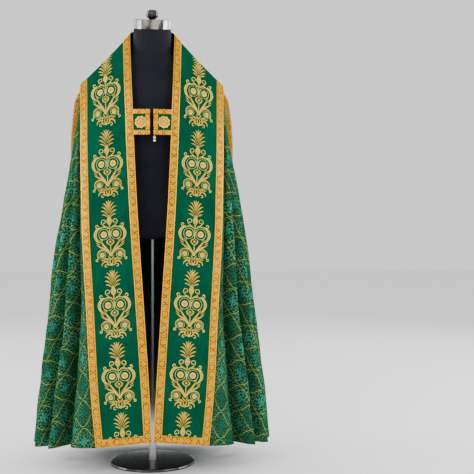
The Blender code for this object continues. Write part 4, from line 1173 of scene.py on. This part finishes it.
small_motif = scroll_motif(0.142, 0.0200, FEWER_LEAVES)
stalk = ("leaf", 1j * np.linspace(0.62, 0.0, 12), np.linspace(0.03, 0.16, 12))
spray = palmette(0.22j, 0.78, 0.25, 0.050, FEWER_LEAVES, 1.6) + [stalk]
curl_line = scroll(0.0085 + 0.010j, 0.0060, 0.0022, -95, 0.95, 18)
curl = both([thread(np.concatenate([[0.004 + 0.0j], curl_line]), 0.0019)])
for strokes, first_turn, step, start, size in (
    (small_motif, 0, 90, CROSS_REACH - ARM_LONG, ARM_LONG),
    (spray, 45, 90, RING_RADIUS + SPRAY_GAP, SPRAY_LONG),
    (curl, 22.5, 45, RING_RADIUS + CURL_GAP, 1.0),
):
    for turn in np.arange(first_turn, 360, step):
        work.work(strokes, arm(turn, start), size)
ring_leaves = []
for k in range(RING_LEAVES):
    place = RING_RADIUS * np.exp(1j * FULL_TURN * k / RING_LEAVES)
    out = place / abs(place)
    for turn in (RING_LEAF_TURN, -RING_LEAF_TURN):
        tip = place + RING_LEAF_LONG * 1j * out * np.exp(1j * turn)
        bow = (place + tip) / 2 + RING_LEAF_BOW * out
        ring_leaves.append(leaf([place, bow, tip], RING_LEAF_WIDE, 8))
plain_cross = []
for k in range(4):
    way = np.exp(1j * math.pi / 2 * k)
    f = np.linspace(0, 1, 12)
    plain_cross.append(("leaf", way * (0.003 + 0.036 * f), 0.0085 + 0.010 * f**3))
    plain_cross.append(leaf([way * (0.001 + 0.001j) * far for far in (10, 18, 26)], 0.006, 8))
plain_cross.append(berry(0j, 0.0075))
for strokes in (ring_leaves, plain_cross):
    work.work(strokes, arm(90, 0.0), 1.0)
mesh = facing(work.finished("scrollwork_hood"), backwards)
hood_work = placed(mesh, (gold_thread,))

# ---------------------------------------------------------------- hood edging and fringe
# A thin cord braid covers the hood's raw edge, and a close bullion fringe of twisted gold wire thread hangs
# outside it, sewn on by its woven head.

EDGE_BRAID_WIDE = 0.0045
FRINGE_HEAD, FRINGE_LONG, FRINGE_THICK = 0.005, 0.0215, 0.0021
BULLIONS = 560
FRINGE_DROOP, FRINGE_FLARE = 0.30, 0.15
FRINGE_SHORTEST, FRINGE_GROWTH, FRINGE_UNEVEN = 0.4, 0.060, 0.05
HEAD_SHARE, TIP_FROM, BULLION_STEPS = 0.2, 0.9, 7  # along a bullion: its straight head and its narrow tip
FULL_WIDE, TIP_WIDE, FLATNESS, ROOT_GAP = 1.04, 0.7, 0.9, 2.8 * SEAM
SWAY, STAND_OFF, NEXT_ROW, NEXT_TWIST = 0.0006, 0.0002, 0.0004, 0.0011
WINDING, EDGING_DOME, EDGING_TURN = 0.0016, 0.0006, 6.28


def spin_bullion(name, light, deep):
    """Wire thread wound round a core. Its deep colour is painted shade between the turns, and also fills uneven
    patches of duller wire.
    """
    finish = Finish(name, roughness=0.45, metallic=0.9, specular=0.25, gleam=(0.85, 0.50, 0.12))
    x, y = finish.flat_place()
    twist = (x + y * WINDING).sine(FULL_TURN / WINDING)
    uneven = finish.drawn_clouds((y, x), scales=(2.0, 60.0))
    # painted shade: the deep colour lies between the turns of the wire, and in uneven duller patches
    share = twist.between(-0.9, 0.7) * uneven.between(0.30, 0.55)
    finish.raised(twist, depth=0.0003, strength=0.8)
    return finish.coloured(finish.dyed(share, deep, light))


# the second colour of each is painted shade between the turns, and the colour of the duller patches
bullion = spin_bullion("bullion", (0.98, 0.50, 0.006), (0.66, 0.25, 0.003))
pale_cord = spin_bullion("pale gold cord", (0.90, 0.68, 0.10), (0.62, 0.40, 0.04))

shares = np.linspace(0, 1, 260)
spots = along(outline, shares)
ways = unit(np.gradient(spots, axis=0))
inwards = np.column_stack([-ways[:, 1], ways[:, 0]])
strip = []
for share in np.linspace(0, 1, 6):
    spot = spots + (SEAM + (EDGE_BRAID_WIDE - SEAM) * share) * inwards
    dome = EDGING_DOME * (1 - (2 * share - 1) ** 2)
    strip.append(on_hood(spot[:, 0], spot[:, 1], HOOD_THICK + 2 * SEAM + dome))
place = paired(outline[0][-1] * shares, np.linspace(0, EDGING_TURN, 6)[:, None])
mesh = sheet_mesh("hood_edging", np.array(strip), place)
edging = placed(mesh, (pale_cord,), ("hood_braid",), BRAID_THICK - EDGING_DOME)

work = Needlework()
middles = (np.arange(BULLIONS) + 0.5) / BULLIONS
spots = along(outline, middles)
near = 0.002
ways = unit(along(outline, np.minimum(middles + near, 1)) - along(outline, np.maximum(middles - near, 0)))
outs = np.column_stack([ways[:, 1], -ways[:, 0]])
_, sideways, upwards = hood_slopes(spots[:, 0], spots[:, 1])


def on_slope(ways, flare=1.0):
    """Directions that follow the hood, from directions seen squarely from behind."""
    return unit(np.column_stack([ways[:, 0], flare * sideways * ways[:, 0] + upwards * ways[:, 1], ways[:, 1]]))


head_way, edge_way = on_slope(outs), on_slope(ways)
falls_way = on_slope(outs - (0, FRINGE_DROOP), FRINGE_FLARE)
roots = on_hood(spots[:, 0], spots[:, 1], FRINGE_THICK / 2) + ROOT_GAP * head_way
square = np.cross(head_way, edge_way)
square *= np.sign(square[:, 1:2])
turn = np.linspace(0, FULL_TURN, 7)
pitch = outline[0][-1] / BULLIONS
for i in range(BULLIONS):
    sway = SWAY * noise.noise(Vector((i * 0.9, 1.7, 0)))
    from_corner = min(i + 0.5, BULLIONS - i - 0.5) * pitch
    grown = max(math.sin(math.pi / 2 * min(from_corner / FRINGE_GROWTH, 1)), FRINGE_SHORTEST)
    short = grown * (1 - FRINGE_UNEVEN * abs(noise.noise(Vector((i * 2.3, 8.1, 0)))))
    off = STAND_OFF + NEXT_ROW * (i % 2)
    line, radii = [], []
    for f in np.linspace(0, 1, BULLION_STEPS):
        down = max(f - HEAD_SHARE, 0) / (1 - HEAD_SHARE)
        point = roots[i] + head_way[i] * FRINGE_HEAD * min(f / HEAD_SHARE, 1)
        point = point + falls_way[i] * FRINGE_LONG * short * down
        line.append(point + edge_way[i] * sway * 2 * down**2 + square[i] * off * down)
        radii.append(0.5 * pitch * (FULL_WIDE if f < TIP_FROM else TIP_WIDE))
    around = np.cos(turn)[:, None] * edge_way[i] + FLATNESS * np.sin(turn)[:, None] * square[i]
    grid = np.array(line)[:, None] + np.array(radii)[:, None, None] * around
    lengths = np.linspace(0, FRINGE_HEAD + FRINGE_LONG, BULLION_STEPS) + NEXT_TWIST * i
    work.add(grid, paired(lengths[:, None], turn))
fringe = placed(work.finished("bullion_fringe"), (bullion,), ("hood_fringe",))

# ---------------------------------------------------------------- morse
# The morse closes the cope on the chest: two short tabs of the same satin edged with galloon, each sewn to the
# inner edge of its band and carrying a round gold-thread shell flower.

MORSE_FOOT, MORSE_TOP, MORSE_RISE = 1.158, 1.247, 0.011
MORSE_ENDS = {"right": -0.0076, "left": 0.0034}
MORSE_BRAID_HIGH, MORSE_BRAID_WIDE = 0.017, 0.015
FLOWER_RADIUS, FLOWER_THICK, FLOWER_HEIGHT = 0.0215, 0.0030, 1.2017
PETALS, PETAL_LOBE, SHELL_TURN = 9, 0.10, FLOWER_RADIUS * 0.6
HEART_RISE, GROOVE_DEEP = 0.30, 0.28
FLOWER_PLACES = {"right": -0.0386, "left": 0.0388}


def tab_point(side, height, share):
    """Points of a tab's inner face, from the band's inner edge to the tab's end in the middle of the chest."""
    x, y = read(INNER_EDGE, height)
    start = np.array([x - SEAM, y - SEAM, height])
    end = np.array([MORSE_ENDS[side] * SIDES[side], y - MORSE_RISE, height])
    return (start + (end - start) * share) * (SIDES[side], 1, 1)


def weave_shell():
    """Gold stitches in rays, red towards each petal's heart, with painted shade dark in the grooves between the
    petals. The place runs from 0 to 1 outwards, and round the flower."""
    gold_gleam = (1.0, 0.80, 0.40)
    finish = Finish("gold shell embroidery", roughness=0.42, metallic=0.8, specular=0.25, gleam=gold_gleam)
    reach, round_it = finish.flat_place()
    petal = abs(round_it.cosine(PETALS / 2 / SHELL_TURN))
    patches = finish.drawn_clouds((reach, round_it), scales=(5.0, 150.0))
    heart = (petal * (1.0 - abs((reach - 0.62) / 0.34)) + patches).between(0.72, 1.15)
    colour = finish.dyed(heart, (0.92, 0.62, 0.04), (0.78, 0.19, 0.004))
    colour = finish.dyed(reach.fading(0.10, 0.18) * 0.8, colour, (0.74, 0.20, 0.006))
    # painted shade: dark brown in the outer grooves between the petals
    painted_gap_shade = petal.fading(0.10, 0.32) * reach.between(0.30, 0.45)
    finish.raised(round_it.sine(FULL_TURN / STITCH), depth=0.0003, strength=0.7)
    return finish.coloured(finish.dyed(painted_gap_shade * 0.6, colour, (0.24, 0.15, 0.006)))


shell = weave_shell()
inner_foot, inner_top = MORSE_FOOT + MORSE_BRAID_HIGH, MORSE_TOP - MORSE_BRAID_HIGH
for side in SIDES:
    start, end = tab_point(side, FLOWER_HEIGHT, 0), tab_point(side, FLOWER_HEIGHT, 1)
    wide = np.linalg.norm(end - start)
    heights, shares = np.linspace(MORSE_FOOT, MORSE_TOP, 19), np.linspace(0, 1, 15)
    grid = np.array([[tab_point(side, height, share) for share in shares] for height in heights])
    ahead = np.cross(grid[1, 0] - grid[0, 0], grid[0, 1] - grid[0, 0])
    grid = grid if ahead[1] > 0 else grid[:, ::-1]
    mesh = sheet_mesh(f"tab_{side}", grid, paired(heights[:, None], shares * wide))
    braids[side].append(placed(mesh, (satin, lining), (f"morse_{side}",), BAND_THICK))

    out = np.cross(end - start, tab_point(side, MORSE_TOP, 0.5) - tab_point(side, MORSE_FOOT, 0.5))
    out *= -np.sign(out[1]) / np.linalg.norm(out)
    for name, low, high, last, runs_across in (
        ("foot", MORSE_FOOT, inner_foot, wide, True),
        ("top", inner_top, MORSE_TOP, wide, True),
        ("end", inner_foot + SEAM, inner_top - SEAM, MORSE_BRAID_WIDE, False),
    ):
        height, from_end = np.meshgrid(np.linspace(low, high, 6), np.linspace(0, last, 9), indexing="ij")
        rows = zip(height, 1 - from_end / wide)
        grid = np.array([[tab_point(side, h, share) for h, share in zip(*row)] for row in rows])
        long, across_braid = (from_end, height - low) if runs_across else (height, from_end)
        place = paired(long, across_braid + (BRAID_WIDE - MORSE_BRAID_HIGH) / 2)
        mesh = sheet_mesh(f"tab_braid_{name}_{side}", grid + (BAND_THICK + SEAM) * out, place)
        braids[side].append(placed(facing(mesh, forwards), (front_galloon,),
            (f"morse_galloon_{side}",), BRAID_THICK))

    middle = start + (end - start) * (FLOWER_PLACES[side] - start[0]) / (end[0] - start[0])
    along_tab = (end - start) / np.linalg.norm(end - start)
    upright = np.cross(out, along_tab)
    turn, reach = np.linspace(0, FULL_TURN, 97), np.linspace(0, 1, 15)[:, None]
    lobes = PETAL_LOBE * np.abs(np.sin(PETALS / 2 * turn))
    petal = np.abs(np.cos(PETALS / 2 * turn)) ** 0.6
    rise = (1 - reach**3.2) * (0.55 + 0.45 * petal) + HEART_RISE * np.exp(-((reach - 0.12) / 0.12) ** 2)
    rise = rise - GROOVE_DEEP * np.exp(-((reach - 0.36) / 0.07) ** 2)
    radius = (FLOWER_RADIUS * reach * (1 - reach**2 * lobes))[..., None]
    ways = np.cos(turn)[:, None] * along_tab + np.sin(turn)[:, None] * upright
    base = middle + (BAND_THICK + BRAID_THICK + 2 * SEAM) * out
    grid = base + radius * ways + (FLOWER_THICK * rise)[..., None] * out
    mesh = sheet_mesh(f"shell_flower_{side}", grid, paired(reach, turn * SHELL_TURN))
    braids[side].append(placed(facing(mesh, forwards), (shell,), (f"morse_rosette_{side}",)))

# ---------------------------------------------------------------- clasp
# The clasp closes the two tabs behind their flowers. It is a hook of polished brass that is sewn behind the
# wearer's left tab, with two small beads that hang below it.


def polish(name, colour, roughness, metallic, scratch=0.15, coat=0.0):
    """A smooth hard surface with faint unevenness in its colour and gloss."""
    finish = Finish(name, metallic=metallic, coat=coat)
    grain = finish.clouds(finish.solid_place(), scale=60.0, detail=4.0)
    join(finish.tree, grain * scratch + (roughness - scratch / 2), finish.shader["Roughness"])
    finish.raised(grain, depth=0.0002, strength=0.1)
    return finish.coloured(finish.dyed(grain, tuple(0.85 * c for c in colour), colour))


brass = polish("polished brass", (0.86, 0.72, 0.40), roughness=0.22, metallic=1.0)
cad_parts["clasp_hook"].material_slots[0].material = brass

# ---------------------------------------------------------------- dress form
# The cope hangs on a shop form: a limbless torso of hard foam in dark jersey, a steel neck cap, a lobed black
# knob, and a steel pole on a black base plate.

KNIT_RIBS, KNIT_COURSES = 260.0, 5200.0
JERSEY_DARKS = ((0.0066, 0.0066, 0.0118), (0.0118, 0.0118, 0.0190))
STEEL_GREYS = ((0.055, 0.046, 0.040), (0.44, 0.41, 0.38))


def knit_jersey():
    """Matt dark knit, its ribs upright round the form."""
    finish = Finish("dark jersey", roughness=0.85, specular=0.15)
    place = finish.solid_place()
    x, y, z = finish.parts(place)
    finish.raised(worked("ARCTAN2", y, x).sine(KNIT_RIBS) * z.sine(KNIT_COURSES), depth=0.0003, strength=0.5)
    return finish.coloured(finish.dyed(finish.clouds(place, scale=14.0), *JERSEY_DARKS))


def burnish():
    """A bright band of rolled steel, clouded in upright streaks."""
    finish = Finish("rolled steel", metallic=1.0, roughness=0.24)
    streaks = finish.drawn_clouds(finish.parts(finish.solid_place()), scales=(42.0, 42.0, 2.0), detail=3.0)
    finish.raised(streaks, depth=0.0003, strength=0.2)
    return finish.coloured(finish.dyed(streaks.between(0.40, 0.64), *STEEL_GREYS))


black = (0.008, 0.008, 0.009)
black_gloss = polish("black gloss", black, roughness=0.22, metallic=0.0, scratch=0.06, coat=0.15)
brushed_steel = polish("brushed steel", (0.52, 0.52, 0.54), roughness=0.32, metallic=1.0)
for name, finish in (
    ("dress_form", knit_jersey()),
    ("neck_cap", burnish()),
    ("neck_knob", black_gloss),
    ("stand_base", black_gloss),
    ("pole", brushed_steel),
):
    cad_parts[name].material_slots[0].material = finish

# ---------------------------------------------------------------- the cloths' cut
# The sizes that the cloths were cut to and what they rest on are worked out here. The body's three lengths are
# cut from half a disc, the bands are straight strips, and the hood is a shield.

for name in ("left", "right", "back"):
    place = cloth_sizes[name]
    wide, long = (float(np.ptp(place[..., k])) for k in (0, 1))
    hangs_from = ["dress_form"] + [f"band_{side}" for side in SIDES if name in (side, "back")]
    flat_area(place)
for side in SIDES:
    others = braids[side] + ([centre_braid] if side == "left" else [])
    float(band_long(BAND_WIDE / 2))

# ---------------------------------------------------------------- floor and light
# A wide pale floor and six large soft boxes: two before the form, two behind it and one at each side for the
# folds.

floor_mesh = bpy.data.meshes.new("floor")
floor_mesh.from_pydata([(-14, -14, 0), (14, -14, 0), (14, 14, 0), (-14, 14, 0)], [], [(0, 1, 2, 3)])
floor = in_scene("floor", floor_mesh)
floor_mesh.materials.append(Finish("pale floor", roughness=0.9).coloured((0.90, 0.90, 0.90)))

world = bpy.data.worlds.new("studio")
bpy.context.scene.world = world
world.use_nodes = True
world.node_tree.nodes["Background"].inputs["Color"].default_value = (1, 1, 1, 1)
world.node_tree.nodes["Background"].inputs["Strength"].default_value = 1.13


def softbox(name, place, size, power):
    """A square soft box that looks at the middle of the form."""
    data = bpy.data.lights.new(name, "AREA")
    data.shape, data.size, data.size_y, data.energy = "RECTANGLE", size, size, power
    light = in_scene(name, data)
    light.location = place
    light.rotation_euler = (Vector((0, 0, 0.85)) - Vector(place)).to_track_quat("-Z", "Y").to_euler()


softbox("front_left", (-2.6, -3.4, 2.6), 1.6, 72)
softbox("front_right", (2.9, -3.0, 2.2), 1.8, 44)
softbox("back_left", (-2.8, 3.2, 2.6), 1.8, 46)
softbox("back_right", (2.8, 3.2, 2.6), 1.8, 60)
softbox("side_left", (-3.5, 0.1, 1.5), 1.8, 100)
softbox("side_right", (3.5, 0.1, 1.5), 1.8, 90)
